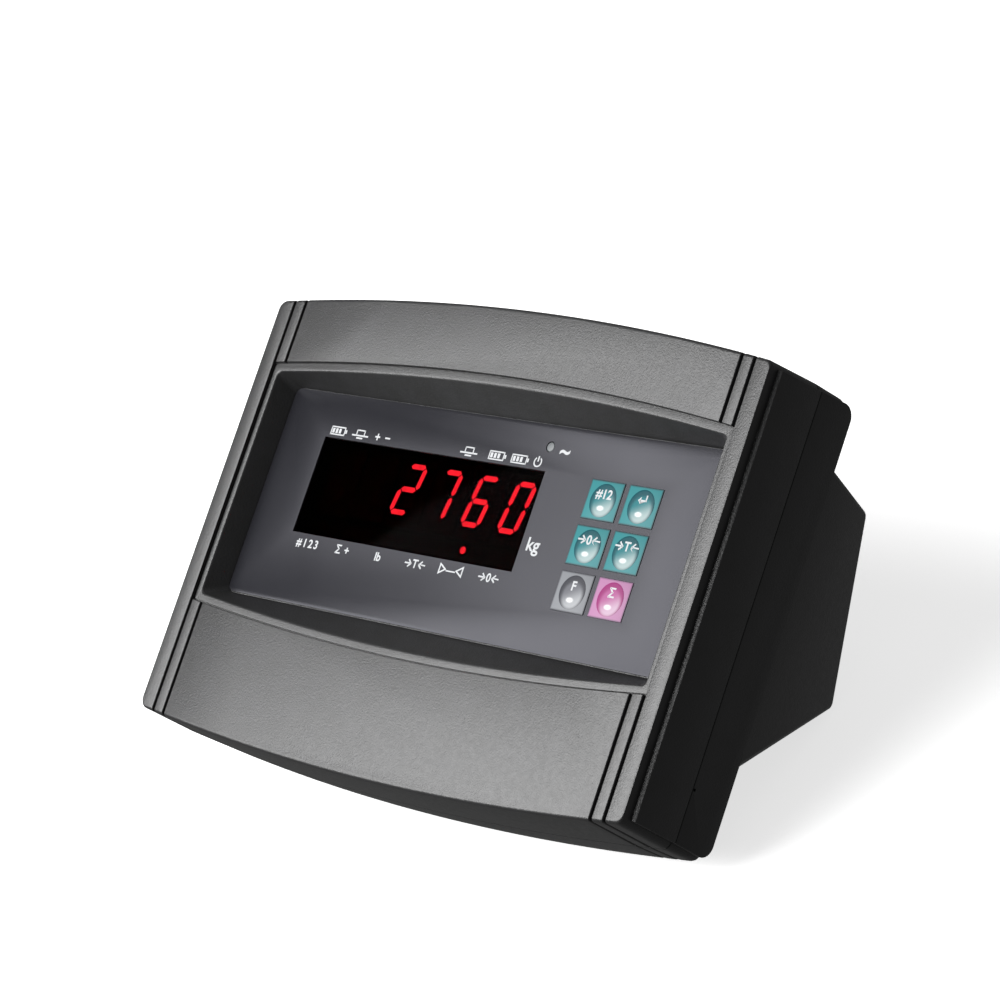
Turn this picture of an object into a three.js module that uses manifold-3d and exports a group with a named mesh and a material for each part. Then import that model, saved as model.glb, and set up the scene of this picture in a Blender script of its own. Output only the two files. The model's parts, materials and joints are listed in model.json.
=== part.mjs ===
// Desk-top weighing indicator: the read-out head of a platform scale, leaning back on four rubber feet.
//
// The parts are drawn face on, in millimetres: x runs to the right, y runs back into the case from the
// front surface, and z runs up the face. The whole group then leans back and stands on its feet.
import * as THREE from "three";
import { mergeVertices } from "three/addons/utils/BufferGeometryUtils.js";
import { ConvexGeometry } from "three/addons/geometries/ConvexGeometry.js";
import Module from "manifold-3d";

const wasm = await Module();
wasm.setup();

// Stance
const LEAN_BACK = THREE.MathUtils.degToRad(53.5);
const TABLE_DROP = 94; // from the centre of the front surface down to the table
const GAP = 0.3; // between neighbouring pieces
const WALL = 2.6;

// Case: a block with arched top and bottom edges between two thin cheeks
const BLOCK_HALF = 126.5;
const CORNER_TOP = 83.3; // height of the corners above and below the middle
const CORNER_BOTTOM = 83.6;
const ARCH_TOP = 7.7;
const ARCH_BOTTOM = 7.0;
const CASE_DEPTH = 47;
const SEAM_DEPTH = 27.5;
const DRAFT = 1.4; // how far the top and bottom spread by the seam
const FRONT_RADIUS = 1.2;
const REAR_RADIUS = 5;
const CORNER_RADIUS = 3.2;
const CHEEK_HALF = 128.4;
const CHEEK_INNER = 118;
const CHEEK_FRONT = 4.5;
const CHEEK_HEIGHT = 81.4; // half the height, at the cheek's front edge
const CHEEK_SPREAD = 1.9; // how much taller it is at the back

// Front surface: grooves, and the recess for the keypad
const GROOVES = [112.4, 118.5];
const GROOVE_WIDTH = 1.2;
const GROOVE_DEPTH = 1.6;
const PILLAR_INNER = 119.1;
const BORDER_DEPTH = 1.4;
const BORDER_WIDTH = 3.4;
const RECESS_HALF = 116.2;
const RECESS_BELOW_TOP = 29.3;
const RECESS_ABOVE_BOTTOM = 48.9;
const PANEL_HALF = 112.3;
const PANEL_TOP = 52.5;
const PANEL_BOTTOM = -31.5;
const PANEL_DEPTH = 10.1;
const OVERLAY_THICKNESS = 0.6;
const FLOOR_DEPTH = PANEL_DEPTH + OVERLAY_THICKNESS + GAP;
const FLOOR_BACK = FLOOR_DEPTH + 2.2;

// Display window, lamp and keys
const WINDOW = { x: -28.8, z: 15.4, width: 117.8, height: 38.6 };
const LAMP = { x: 28.7, z: 43.9, radius: 1.9 };
const KEY = { width: 16.1, height: 14.7, clearance: 0.25, proud: 0.3, travel: 0.5 };
const KEY_COLUMNS = [62.1, 80.5];
const KEY_ROWS = [27.3, 10.05, -7.2];
const DIGIT = { count: 6, pitch: 19.05, width: 18.6, height: 27.5, depth: 7.6, z: 19.6 };
const BOARD_FRONT = 23.3;
const BOARD_THICKNESS = 1.6;

// Rear bulge, as a side profile of depth and height, and the taper of its sides
const BULGE_TOP_ROOT = [CASE_DEPTH, 60.7];
const BULGE_TOP_REAR = [83.1, 56.1];
const BULGE_LOW_REAR = [105.2, -12.4];
const BULGE_LOW_ROOT = [CASE_DEPTH, -50.1];
const BULGE_TAPER = 0.27;
const BULGE_CHAMFER = 2.5;

// Fasteners and feet
const SCREW_PLACES = [-104, 104].flatMap((x) => [74, -74].map((z) => [x, z]));
const FOOT = { radius: 6.5, height: 2.5, pedestal: 8 };
const FRONT_FEET = { x: 92, y: CASE_DEPTH, z: -70 };
const REAR_FEET = { x: 78, y: 95, z: -16.8 };

const PLASTIC = { color: 0x6a6b6d, roughness: 0.62 };
const DARK_PLASTIC = { color: 0x17181a, roughness: 0.5 };
const STEEL = { color: 0xb9bcc0, roughness: 0.35, metalness: 1 };
const BOARD = { color: 0x1f5a36, roughness: 0.55 };
const RUBBER = { color: 0x1b1b1c, roughness: 0.9 };

// ---- geometry helpers ----------------------------------------------------------------------------

function solid(geometry) {
  const bare = geometry.clone();
  bare.deleteAttribute("normal");
  bare.deleteAttribute("uv");
  const merged = mergeVertices(bare, 1e-4);
  return new wasm.Manifold(
    new wasm.Mesh({
      numProp: 3,
      vertProperties: merged.attributes.position.array,
      triVerts: new Uint32Array(merged.index.array),
    }),
  );
}

function geometryOf(shape) {
  const mesh = shape.getMesh();
  const geometry = new THREE.BufferGeometry();
  geometry.setAttribute("position", new THREE.BufferAttribute(mesh.vertProperties, 3));
  geometry.setIndex(new THREE.BufferAttribute(mesh.triVerts, 1));
  return geometry;
}

const join = (first, ...others) => others.reduce((sum, next) => sum.add(next), first);
const cut = (first, ...others) => others.reduce((rest, next) => rest.subtract(next), first);

// A box from its low and high corners.
function block(x0, y0, z0, x1, y1, z1) {
  const geometry = new THREE.BoxGeometry(x1 - x0, y1 - y0, z1 - z0);
  return solid(geometry.translate((x0 + x1) / 2, (y0 + y1) / 2, (z0 + z1) / 2));
}

// A box centred at x and z, from depth y0 to y1.
function slab(x, z, width, height, y0, y1) {
  return block(x - width / 2, y0, z - height / 2, x + width / 2, y1, z + height / 2);
}

// A cylinder along y.
function rod(x, z, radius, y0, y1, sides = 20) {
  const geometry = new THREE.CylinderGeometry(radius, radius, y1 - y0, sides);
  return solid(geometry.translate(x, (y0 + y1) / 2, z));
}

// A closed solid through rings of equal length, closed at each end by a fan.
function loft(rings) {
  const count = rings[0].length;
  const points = rings.flat();
  const faces = [];
  for (let ring = 0; ring < rings.length - 1; ring += 1) {
    for (let i = 0; i < count; i += 1) {
      const a = ring * count + i;
      const b = ring * count + ((i + 1) % count);
      faces.push(a, b, b + count, a, b + count, a + count);
    }
  }
  for (const [ring, first] of [[rings[0], 0], [rings.at(-1), (rings.length - 1) * count]]) {
    const hub = points.length;
    const middle = ring.reduce((sum, p) => sum.add(p), new THREE.Vector3());
    points.push(middle.divideScalar(count));
    for (let i = 0; i < count; i += 1) {
      const next = (i + 1) % count;
      if (first === 0) faces.push(hub, next, i);
      else faces.push(hub, first + i, first + next);
    }
  }
  const geometry = new THREE.BufferGeometry().setFromPoints(points);
  const made = solid(geometry.setIndex(faces));
  if (made.volume() > 0) return made;
  return solid(geometry.setIndex(faces.reverse()));
}

const ARCH_STEPS = 20;
const CORNER_STEPS = 3;
const topEdge = (x) => CORNER_TOP + ARCH_TOP * (1 - (x / BLOCK_HALF) ** 2);
const bottomEdge = (x) => -CORNER_BOTTOM - ARCH_BOTTOM * (1 - (x / BLOCK_HALF) ** 2);

// A ring at one depth: the low and high edges are functions of x, and the corners are round.
function ring(depth, halfWidth, low, high, radius = CORNER_RADIUS) {
  const reach = halfWidth - radius;
  const points = [];
  const edge = (height, way) => {
    for (let i = 0; i <= ARCH_STEPS; i += 1) {
      const x = way * reach * ((2 * i) / ARCH_STEPS - 1);
      points.push(new THREE.Vector3(x, depth, height(x)));
    }
  };
  const corner = (x, z, quarter, from, to) => {
    for (let i = from; i <= to; i += 1) {
      const angle = (Math.PI / 2) * (quarter + i / CORNER_STEPS);
      const out = new THREE.Vector3(Math.cos(angle), 0, Math.sin(angle));
      points.push(out.multiplyScalar(radius).add(new THREE.Vector3(x, depth, z)));
    }
  };
  const lowCorner = low(reach) + radius;
  const highCorner = high(reach) - radius;
  edge(low, 1);
  corner(reach, lowCorner, -1, 1, CORNER_STEPS);
  corner(reach, highCorner, 0, 0, CORNER_STEPS - 1);
  edge(high, -1);
  corner(-reach, highCorner, 1, 1, CORNER_STEPS);
  corner(-reach, lowCorner, 2, 0, CORNER_STEPS - 1);
  return points;
}

// The block's own outline at one depth, moved inwards by an inset, its top and bottom spread apart.
function blockRing(depth, inset, spread = 0) {
  const out = spread - inset;
  return ring(depth, BLOCK_HALF - inset, (x) => bottomEdge(x) - out, (x) => topEdge(x) + out);
}

// Depth and inset along a rounded edge, from a face at its inset into the straight side.
function roundedEdge(radius, steps) {
  return Array.from({ length: steps + 1 }, (_, i) => {
    const angle = (Math.PI / 2) * (i / steps);
    return [radius * (1 - Math.cos(angle)), radius * (1 - Math.sin(angle))];
  });
}

// A prism along x from a side profile of [depth, height] points.
function sideProfile(points, x0, x1) {
  return loft([x0, x1].map((x) => points.map(([y, z]) => new THREE.Vector3(x, y, z))));
}

// ---- frames of the tilted surfaces ----------------------------------------------------------------

// A group whose y axis points out of the bulge face that runs between two profile points.
function faceFrame([y0, z0], [y1, z1], turn) {
  const frame = new THREE.Group();
  frame.position.set(0, (y0 + y1) / 2, (z0 + z1) / 2);
  frame.rotation.x = turn;
  frame.updateMatrix();
  return frame;
}

const rearLean = Math.atan2(BULGE_LOW_REAR[0] - BULGE_TOP_REAR[0], BULGE_TOP_REAR[1] - BULGE_LOW_REAR[1]);
const hatchLean = Math.atan2(BULGE_LOW_REAR[0] - BULGE_LOW_ROOT[0], BULGE_LOW_REAR[1] - BULGE_LOW_ROOT[1]);
const rearFace = faceFrame(BULGE_TOP_REAR, BULGE_LOW_REAR, rearLean);
const hatchFace = faceFrame(BULGE_LOW_ROOT, BULGE_LOW_REAR, -hatchLean);
// Undoes the lean, so that y and z are level and upright again, for whatever stands on the table.
const upright = new THREE.Group();
upright.rotation.x = LEAN_BACK;
upright.updateMatrix();

function placed(shape, frame) {
  return solid(geometryOf(shape).applyMatrix4(frame.matrix));
}

// ---- housings --------------------------------------------------------------------------------------

function cheekProfile(y0, y1, rearRadius = 0) {
  const height = (y) => CHEEK_HEIGHT + (CHEEK_SPREAD * (y - CHEEK_FRONT)) / (CASE_DEPTH - CHEEK_FRONT);
  const top = [[y0, height(y0)]];
  if (rearRadius) {
    for (const [back, inset] of roundedEdge(rearRadius, 4).reverse()) {
      top.push([y1 - back, height(y1) - inset]);
    }
  } else {
    top.push([y1, height(y1)]);
  }
  const bottom = top.map(([y, z]) => [y, -z]).reverse();
  return [...top, ...bottom];
}

function cheeks(y0, y1, rearRadius) {
  const profile = cheekProfile(y0, y1, rearRadius);
  return [sideProfile(profile, -CHEEK_HALF, -CHEEK_INNER), sideProfile(profile, CHEEK_INNER, CHEEK_HALF)];
}

const recessTop = (x) => topEdge(x) - RECESS_BELOW_TOP;
const recessBottom = (x) => bottomEdge(x) + RECESS_ABOVE_BOTTOM;

// Narrow grooves that run down the front bands and back along the top and the bottom of the case.
function grooves(y0, y1, onFront) {
  const cutters = [];
  for (const side of [-1, 1]) {
    for (const groove of GROOVES) {
      const x = side * groove;
      const [x0, x1] = [x - GROOVE_WIDTH / 2, x + GROOVE_WIDTH / 2];
      cutters.push(block(x0, y0, topEdge(x) - GROOVE_DEPTH, x1, y1, 100));
      cutters.push(block(x0, y0, -100, x1, y1, bottomEdge(x) + GROOVE_DEPTH));
      if (onFront) {
        cutters.push(block(x0, y0, recessTop(x) + BORDER_WIDTH, x1, GROOVE_DEPTH, 100));
        cutters.push(block(x0, y0, -100, x1, GROOVE_DEPTH, recessBottom(x) - BORDER_WIDTH));
      }
    }
  }
  return cutters;
}

function keyPlaces() {
  return KEY_ROWS.flatMap((z) => KEY_COLUMNS.map((x) => ({ x, z })));
}

function frontHousing() {
  const rings = roundedEdge(FRONT_RADIUS, 3).map(([depth, inset]) => blockRing(depth, inset));
  const end = SEAM_DEPTH - GAP / 2;
  const body = join(loft([...rings, blockRing(end, 0, DRAFT)]), ...cheeks(CHEEK_FRONT, end));
  const border = loft([-1, BORDER_DEPTH].map((depth) => ring(
    depth, PILLAR_INNER, (x) => recessBottom(x) - BORDER_WIDTH, (x) => recessTop(x) + BORDER_WIDTH, 0.8,
  )));
  const recess = loft([
    ring(BORDER_DEPTH - 0.2, RECESS_HALF, recessBottom, recessTop, 2.4),
    ring(FLOOR_DEPTH, PANEL_HALF, () => PANEL_BOTTOM, () => PANEL_TOP, 1),
  ]);
  const cavity = join(
    loft([FLOOR_BACK, CASE_DEPTH].map((depth) => blockRing(depth, WALL))),
    loft([4, FLOOR_BACK + 1].map((depth) => ring(
      depth, 108, (x) => recessTop(x) + 6, (x) => topEdge(x) - 4,
    ))),
    loft([4, FLOOR_BACK + 1].map((depth) => ring(
      depth, 108, (x) => bottomEdge(x) + 4, (x) => recessBottom(x) - 6,
    ))),
  );
  const openings = [
    slab(WINDOW.x, WINDOW.z, WINDOW.width, WINDOW.height, 0, FLOOR_BACK + 1),
    rod(LAMP.x, LAMP.z, LAMP.radius + GAP, 0, FLOOR_BACK + 1),
    ...keyPlaces().map(({ x, z }) => slab(
      x, z, KEY.width + 2 * KEY.clearance, KEY.height + 2 * KEY.clearance, 0, FLOOR_BACK + 1,
    )),
  ];
  const hollow = cut(body, border, recess, cavity, ...grooves(-1, CASE_DEPTH, true), ...openings);
  const bosses = SCREW_PLACES.map(([x, z]) => rod(x, z, 4.2, 3.2, end, 16));
  const boardPosts = [-97, 97].flatMap((x) => [43, -24].map((z) => rod(x, z, 2.6, FLOOR_BACK - 0.5, BOARD_FRONT - GAP, 12)));
  const pilots = SCREW_PLACES.map(([x, z]) => rod(x, z, 1.5 + GAP, 9, CASE_DEPTH, 16));
  return cut(join(hollow, ...bosses, ...boardPosts), ...pilots);
}

// The bulge's side profile moved inwards by an inset, with its two rear corners rounded.
function bulgeProfile(inset, radius) {
  const corners = [[CASE_DEPTH - 3, 61.1], BULGE_TOP_ROOT, BULGE_TOP_REAR, BULGE_LOW_REAR, BULGE_LOW_ROOT, [CASE_DEPTH - 3, -52.2]];
  const points = corners.map(([y, z]) => new THREE.Vector2(y, z));
  const moved = points.map((point, i) => {
    const before = point.clone().sub(points.at(i - 1)).normalize();
    const after = points[(i + 1) % points.length].clone().sub(point).normalize();
    const inward = new THREE.Vector2(before.y + after.y, -before.x - after.x).normalize();
    const lean = inward.dot(new THREE.Vector2(before.y, -before.x));
    return point.clone().addScaledVector(inward, inset / lean);
  });
  const rounded = (i) => {
    const [previous, corner, next] = [moved[i - 1], moved[i], moved[i + 1]];
    const a = previous.clone().sub(corner).normalize();
    const b = next.clone().sub(corner).normalize();
    const start = corner.clone().addScaledVector(a, radius);
    const finish = corner.clone().addScaledVector(b, radius);
    return new THREE.QuadraticBezierCurve(start, corner, finish).getPoints(4);
  };
  return [moved[0], moved[1], ...rounded(2), ...rounded(3), moved[4], moved[5]];
}

// The bulge is convex, so it is the hull of its profile at the tapered sides and of a smaller one further out.
function bulge(inset) {
  const halfWidth = (y) => CHEEK_HALF - inset - BULGE_TAPER * Math.max(0, y - CASE_DEPTH);
  const points = [];
  for (const side of [-1, 1]) {
    for (const p of bulgeProfile(inset, 3)) {
      points.push(new THREE.Vector3(side * (halfWidth(p.x) - BULGE_CHAMFER), p.x, p.y));
    }
    for (const p of bulgeProfile(inset + BULGE_CHAMFER, 2)) {
      points.push(new THREE.Vector3(side * halfWidth(p.x), p.x, p.y));
    }
    points.push(new THREE.Vector3(side * halfWidth(0), CASE_DEPTH, BULGE_TOP_ROOT[1] - inset));
    points.push(new THREE.Vector3(side * halfWidth(0), CASE_DEPTH, BULGE_LOW_ROOT[1] + inset));
  }
  return solid(new ConvexGeometry(points));
}

function footPlaces() {
  return [FRONT_FEET, REAR_FEET].flatMap((foot) => [-1, 1].map((side) => {
    const point = new THREE.Vector3(side * foot.x, foot.y, foot.z);
    return point.applyAxisAngle(new THREE.Vector3(1, 0, 0), -LEAN_BACK);
  }));
}

// An upright pedestal under each foot, in the upright frame, reaching up into the wall.
function pedestals() {
  const low = -TABLE_DROP + FOOT.height + GAP;
  return footPlaces().map(({ x, y, z }) => {
    const height = z + 6 - low;
    const geometry = new THREE.CylinderGeometry(FOOT.pedestal, FOOT.pedestal, height, 24);
    geometry.rotateX(Math.PI / 2).translate(x, y, low + height / 2);
    return placed(solid(geometry), upright);
  });
}

const HATCH = { width: 112, low: -33, high: 27, thickness: 2, rim: 4 };
const INLET = { x: 82, z: -3, width: 27, height: 19.6, flangeWidth: 31, flangeHeight: 24 };
const SWITCH = { x: 57.5, z: -3, width: 12.6, height: 19.2, flangeWidth: 15, flangeHeight: 21.4 };
const FUSE = { x: 82, z: 22, radius: 5.6, capRadius: 7.2 };
const DSUB = { x: -72, zs: [12, -12], width: 17.8, height: 9.6, flangeWidth: 30.8, flangeHeight: 12.5, pitch: 25 };

// Cutters for whatever is let into the bulge's rear face, in the rear face's frame.
function rearFaceCutters() {
  const through = (x, z, width, height) => slab(x, z, width + 2 * GAP, height + 2 * GAP, -12, 4);
  return [
    through(INLET.x, INLET.z, INLET.width, INLET.height),
    through(SWITCH.x, SWITCH.z, SWITCH.width, SWITCH.height),
    rod(FUSE.x, FUSE.z, FUSE.radius + GAP, -12, 4),
    ...DSUB.zs.flatMap((z) => [
      through(DSUB.x, z, DSUB.width, DSUB.height),
      ...[-1, 1].map((side) => rod(DSUB.x + (side * DSUB.pitch) / 2, z, 1.5 + GAP, -12, 4, 12)),
    ]),
  ];
}

function rearHousing() {
  const start = SEAM_DEPTH + GAP / 2;
  const rear = roundedEdge(REAR_RADIUS, 4).reverse();
  const rings = [blockRing(start, 0, DRAFT)];
  for (const [back, inset] of rear) rings.push(blockRing(CASE_DEPTH - back, inset, DRAFT));
  const body = join(loft(rings), ...cheeks(start, CASE_DEPTH, REAR_RADIUS), bulge(0), ...pedestals());
  const cavity = join(
    loft([20, CASE_DEPTH - WALL].map((depth) => blockRing(depth, WALL))),
    bulge(WALL),
    block(-110, 30, -40, 110, CASE_DEPTH + 1, 54),
  );
  const bosses = SCREW_PLACES.map(([x, z]) => rod(x, z, 5.2, start, CASE_DEPTH - 1, 16));
  const frameBack = -HATCH.thickness - GAP;
  const hatchMiddle = (HATCH.low + HATCH.high) / 2;
  const hatchHeight = HATCH.high - HATCH.low;
  const hatchRim = placed(
    slab(0, hatchMiddle, HATCH.width + 6, hatchHeight + 5, frameBack - 2.4, -1), hatchFace,
  );
  const hatchCuts = [
    slab(0, hatchMiddle, HATCH.width + 2 * GAP, hatchHeight + 2 * GAP, frameBack, 8),
    slab(0, hatchMiddle, HATCH.width - 2 * HATCH.rim - 8, hatchHeight - 2 * HATCH.rim, -16, 8),
    ...[-1, 1].map((side) => rod(side * (HATCH.width / 2 - 4), hatchMiddle, 1.3 + GAP, -9, 4, 12)),
  ];
  const screwCuts = SCREW_PLACES.flatMap(([x, z]) => [
    rod(x, z, 1.5 + GAP, 20, CASE_DEPTH + 1, 16),
    rod(x, z, 3.7, CASE_DEPTH - 4, CASE_DEPTH + 1, 20),
  ]);
  const vents = Array.from({ length: 9 }, (_, i) => slab(-32 + 8 * i, -66, 2.4, 13, 40, CASE_DEPTH + 2));
  const shell = cut(body, cavity, ...grooves(20, CASE_DEPTH + 1, false));
  return cut(
    join(shell, ...bosses, hatchRim.intersect(bulge(0.2))),
    ...screwCuts,
    ...vents,
    ...rearFaceCutters().map((cutter) => placed(cutter, rearFace)),
    ...hatchCuts.map((cutter) => placed(cutter, hatchFace)),
  );
}

// ---- front panel pieces ------------------------------------------------------------------------------

function keypadOverlay() {
  const edge = GAP;
  const sheet = block(
    -PANEL_HALF + edge, PANEL_DEPTH, PANEL_BOTTOM + edge,
    PANEL_HALF - edge, PANEL_DEPTH + OVERLAY_THICKNESS, PANEL_TOP - edge,
  );
  return cut(
    sheet,
    slab(WINDOW.x, WINDOW.z, WINDOW.width, WINDOW.height, 0, 20),
    rod(LAMP.x, LAMP.z, LAMP.radius + GAP, 0, 20),
    ...keyPlaces().map(({ x, z }) => slab(
      x, z, KEY.width + 2 * KEY.clearance, KEY.height + 2 * KEY.clearance, 0, 20,
    )),
  );
}

function displayWindow() {
  const pane = slab(WINDOW.x, WINDOW.z, WINDOW.width - 2 * GAP, WINDOW.height - 2 * GAP, PANEL_DEPTH + 0.3, FLOOR_BACK + 1);
  const flange = slab(WINDOW.x, WINDOW.z, WINDOW.width + 4, WINDOW.height + 4, FLOOR_BACK + GAP, FLOOR_BACK + 1.6);
  return join(pane, flange);
}

// The lamp's lens, with a shallow dome flush with the overlay.
function lampLens() {
  const { radius } = LAMP;
  const back = BOARD_FRONT - GAP;
  const profile = [[0, 0], [radius * 0.6, 0.15], [radius, 0.5], [radius, back - PANEL_DEPTH], [0, back - PANEL_DEPTH]];
  const points = profile.map(([r, y]) => new THREE.Vector2(r, y));
  const geometry = new THREE.LatheGeometry(points, 20);
  return solid(geometry.translate(LAMP.x, PANEL_DEPTH, LAMP.z));
}

// One key: a pad in the overlay's opening, a flange that holds it in, and a stem down to the switch.
function key({ x, z }) {
  const front = PANEL_DEPTH - KEY.proud;
  return join(
    slab(x, z, KEY.width, KEY.height, front, FLOOR_BACK + 0.8),
    slab(x, z, KEY.width + 1.5, KEY.height + 1.7, FLOOR_BACK + GAP, FLOOR_BACK + 1.5),
    rod(x, z, 2.5, FLOOR_BACK + 1, 17.4, 16),
  );
}

const plunger = ({ x, z }) => rod(x, z, 1.7, 17.4 + GAP, 20.6, 16);
const switchBody = ({ x, z }) => cut(slab(x, z, 6.2, 6.2, 19.4, BOARD_FRONT - GAP), rod(x, z, 2.1, 19, 21.6, 16));
const digit = (x) => slab(x, DIGIT.z, DIGIT.width, DIGIT.height, BOARD_FRONT - GAP - DIGIT.depth, BOARD_FRONT - GAP);

function statusLamps() {
  return slab(WINDOW.x, 0.6, 108, 6, 17, BOARD_FRONT - GAP);
}

function displayBoard() {
  const back = BOARD_FRONT + BOARD_THICKNESS;
  const board = block(-101, BOARD_FRONT, -28, 101, back, 48);
  return cut(board, rod(-97, 43, 1.2, 20, 30, 12), rod(97, 43, 1.2, 20, 30, 12));
}

// ---- inside the rear housing ----------------------------------------------------------------------------

const mainBoard = () => slab(0, -57, 124, 44, 30, 31.6);
const adcShield = () => slab(-28, -58, 42, 28, 31.6 + GAP, 38);
const buzzer = () => cut(rod(34, -60, 6, 31.6 + GAP, 40, 20), rod(34, -60, 1, 38, 42, 10));

// A flat cable that steps down from the display board to the main board.
function ribbonCable() {
  const lower = [[25.2, -14], [26.4, -14], [28.6, -26], [29.7, -40]];
  const upper = [[29.7, -52], [28.7, -52], [27.4, -27], [25.2, -22]];
  return sideProfile([...lower, ...upper], -12, 12);
}

const transformerCore = () => cut(slab(-86, 0, 42, 38, 50, 74), slab(-86, 0, 26, 24, 40, 90));
const transformerWinding = () => slab(-86, 0, 26 - 2 * GAP, 24 - 2 * GAP, 45, 79);
const battery = () => join(block(-50, 34, -20, 50, 80, 46), block(-44, 40, 45, -38, 46, 49), block(38, 40, 45, 44, 46, 49));

function batteryCover() {
  const middle = (HATCH.low + HATCH.high) / 2;
  const plate = slab(0, middle, HATCH.width, HATCH.high - HATCH.low, -HATCH.thickness, 0);
  const holes = [-1, 1].map((side) => rod(side * (HATCH.width / 2 - 4), middle, 1.3 + GAP, -9, 4, 12));
  return cut(plate, ...holes);
}

// A pan-head screw along y, its head at the outer end.
function screw(radius, length, headRadius, headHeight) {
  const profile = [
    [0, 0], [radius * 0.7, 0], [radius, radius * 0.4], [radius, length], [headRadius, length],
    [headRadius, length + headHeight * 0.6], [headRadius * 0.7, length + headHeight], [0, length + headHeight],
  ];
  return solid(new THREE.LatheGeometry(profile.map(([r, y]) => new THREE.Vector2(r, y)), 16));
}

// ---- pieces let into the rear face, in its own frame ------------------------------------------------------

function mainsInlet() {
  const flange = slab(INLET.x, INLET.z, INLET.flangeWidth, INLET.flangeHeight, GAP, 2.6);
  const body = slab(INLET.x, INLET.z, INLET.width, INLET.height, -16.5, 1);
  const mouth = slab(INLET.x, INLET.z, 24.2, 16.6, -15, 4);
  const pin = (dx, dz) => slab(INLET.x + dx, INLET.z + dz, 2, 4, -15.5, -5);
  return join(cut(join(flange, body), mouth), pin(-7, -1.5), pin(0, 2.5), pin(7, -1.5));
}

function powerSwitchBody() {
  const flange = slab(SWITCH.x, SWITCH.z, SWITCH.flangeWidth, SWITCH.flangeHeight, GAP, 2);
  const body = slab(SWITCH.x, SWITCH.z, SWITCH.width, SWITCH.height, -14, 1);
  return cut(join(flange, body), slab(SWITCH.x, SWITCH.z, 10.4, 17, -11, 4));
}

const ROCKER = { width: 9.8, half: 7.7, pivot: -1.2, tilt: THREE.MathUtils.degToRad(10), swing: 20 };

// A shallow V across its length, round underneath, tipped to one stop.
function powerRocker() {
  const profile = [[-ROCKER.half, 3.6], [0, 2.2], [ROCKER.half, 3.6]];
  const underside = Array.from({ length: 9 }, (_, i) => {
    const angle = (Math.PI * i) / 8;
    return [ROCKER.half * Math.cos(angle), -0.6 - 5.4 * Math.sin(angle)];
  });
  const points = [...profile, ...underside].map(([z, y]) => [y, z]);
  const shape = sideProfile(points, -ROCKER.width / 2, ROCKER.width / 2);
  const geometry = geometryOf(shape).rotateX(-ROCKER.tilt);
  return solid(geometry.translate(SWITCH.x, ROCKER.pivot, SWITCH.z));
}

function fuseHolder() {
  const cap = rod(FUSE.x, FUSE.z, FUSE.capRadius, GAP, 5, 28);
  const slot = slab(FUSE.x, FUSE.z, 9, 1.4, 3.8, 6);
  return join(cut(cap, slot), rod(FUSE.x, FUSE.z, FUSE.radius, -14, 1, 24));
}

function socket(z) {
  const flange = slab(DSUB.x, z, DSUB.flangeWidth, DSUB.flangeHeight, GAP, 1.1);
  const shell = slab(DSUB.x, z, DSUB.width - 1.4, DSUB.height - 1.4, -9, 6);
  const holes = [-1, 1].map((side) => rod(DSUB.x + (side * DSUB.pitch) / 2, z, 1.5 + GAP, -12, 4, 12));
  return cut(join(flange, shell), ...holes);
}

function jackscrew(x, z) {
  return join(rod(x, z, 1.5, -6, 2, 12), rod(x, z, 2.7, 1.1 + GAP, 6, 6));
}

// ---- assembly ------------------------------------------------------------------------------------------------

function piece(name, shape, look) {
  const mesh = new THREE.Mesh(geometryOf(shape), new THREE.MeshStandardMaterial(look));
  mesh.name = name;
  return mesh;
}

function addFrontPanel(group) {
  group.add(piece("keypad_overlay", keypadOverlay(), { color: 0x55565b, roughness: 0.35 }));
  group.add(piece("display_window", displayWindow(), { color: 0x050506, roughness: 0.12 }));
  group.add(piece("ac_lamp", lampLens(), { color: 0xc01822, roughness: 0.2 }));
  const keys = [
    ["count", 0x5fa5a8], ["enter", 0x5fa5a8], ["zero", 0x5fa5a8],
    ["tare", 0x5fa5a8], ["function", 0xa8abb0], ["total", 0xd9a0c8],
  ];
  keyPlaces().forEach((place, i) => {
    const [name, color] = keys[i];
    group.add(piece(`key_${name}`, key(place), { color, roughness: 0.35 }));
    group.add(piece(`plunger_${name}`, plunger(place), DARK_PLASTIC));
    group.add(piece(`switch_${name}`, switchBody(place), DARK_PLASTIC));
  });
  for (let i = 0; i < DIGIT.count; i += 1) {
    const x = WINDOW.x + (i - (DIGIT.count - 1) / 2) * DIGIT.pitch;
    group.add(piece(`digit_${i + 1}`, digit(x), { color: 0x2a0a0c, roughness: 0.4 }));
  }
  group.add(piece("status_lamps", statusLamps(), { color: 0x2a0a0c, roughness: 0.4 }));
  group.add(piece("display_board", displayBoard(), BOARD));
}

function addInside(group) {
  group.add(piece("main_board", mainBoard(), BOARD));
  group.add(piece("adc_shield", adcShield(), STEEL));
  group.add(piece("buzzer", buzzer(), DARK_PLASTIC));
  group.add(piece("ribbon_cable", ribbonCable(), { color: 0x8f9296, roughness: 0.6 }));
  group.add(piece("transformer_core", transformerCore(), { color: 0x4c5054, roughness: 0.5, metalness: 0.8 }));
  group.add(piece("transformer_winding", transformerWinding(), { color: 0xc9a23a, roughness: 0.4 }));
  group.add(piece("battery", battery(), { color: 0x2c2f33, roughness: 0.5 }));
}

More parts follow.
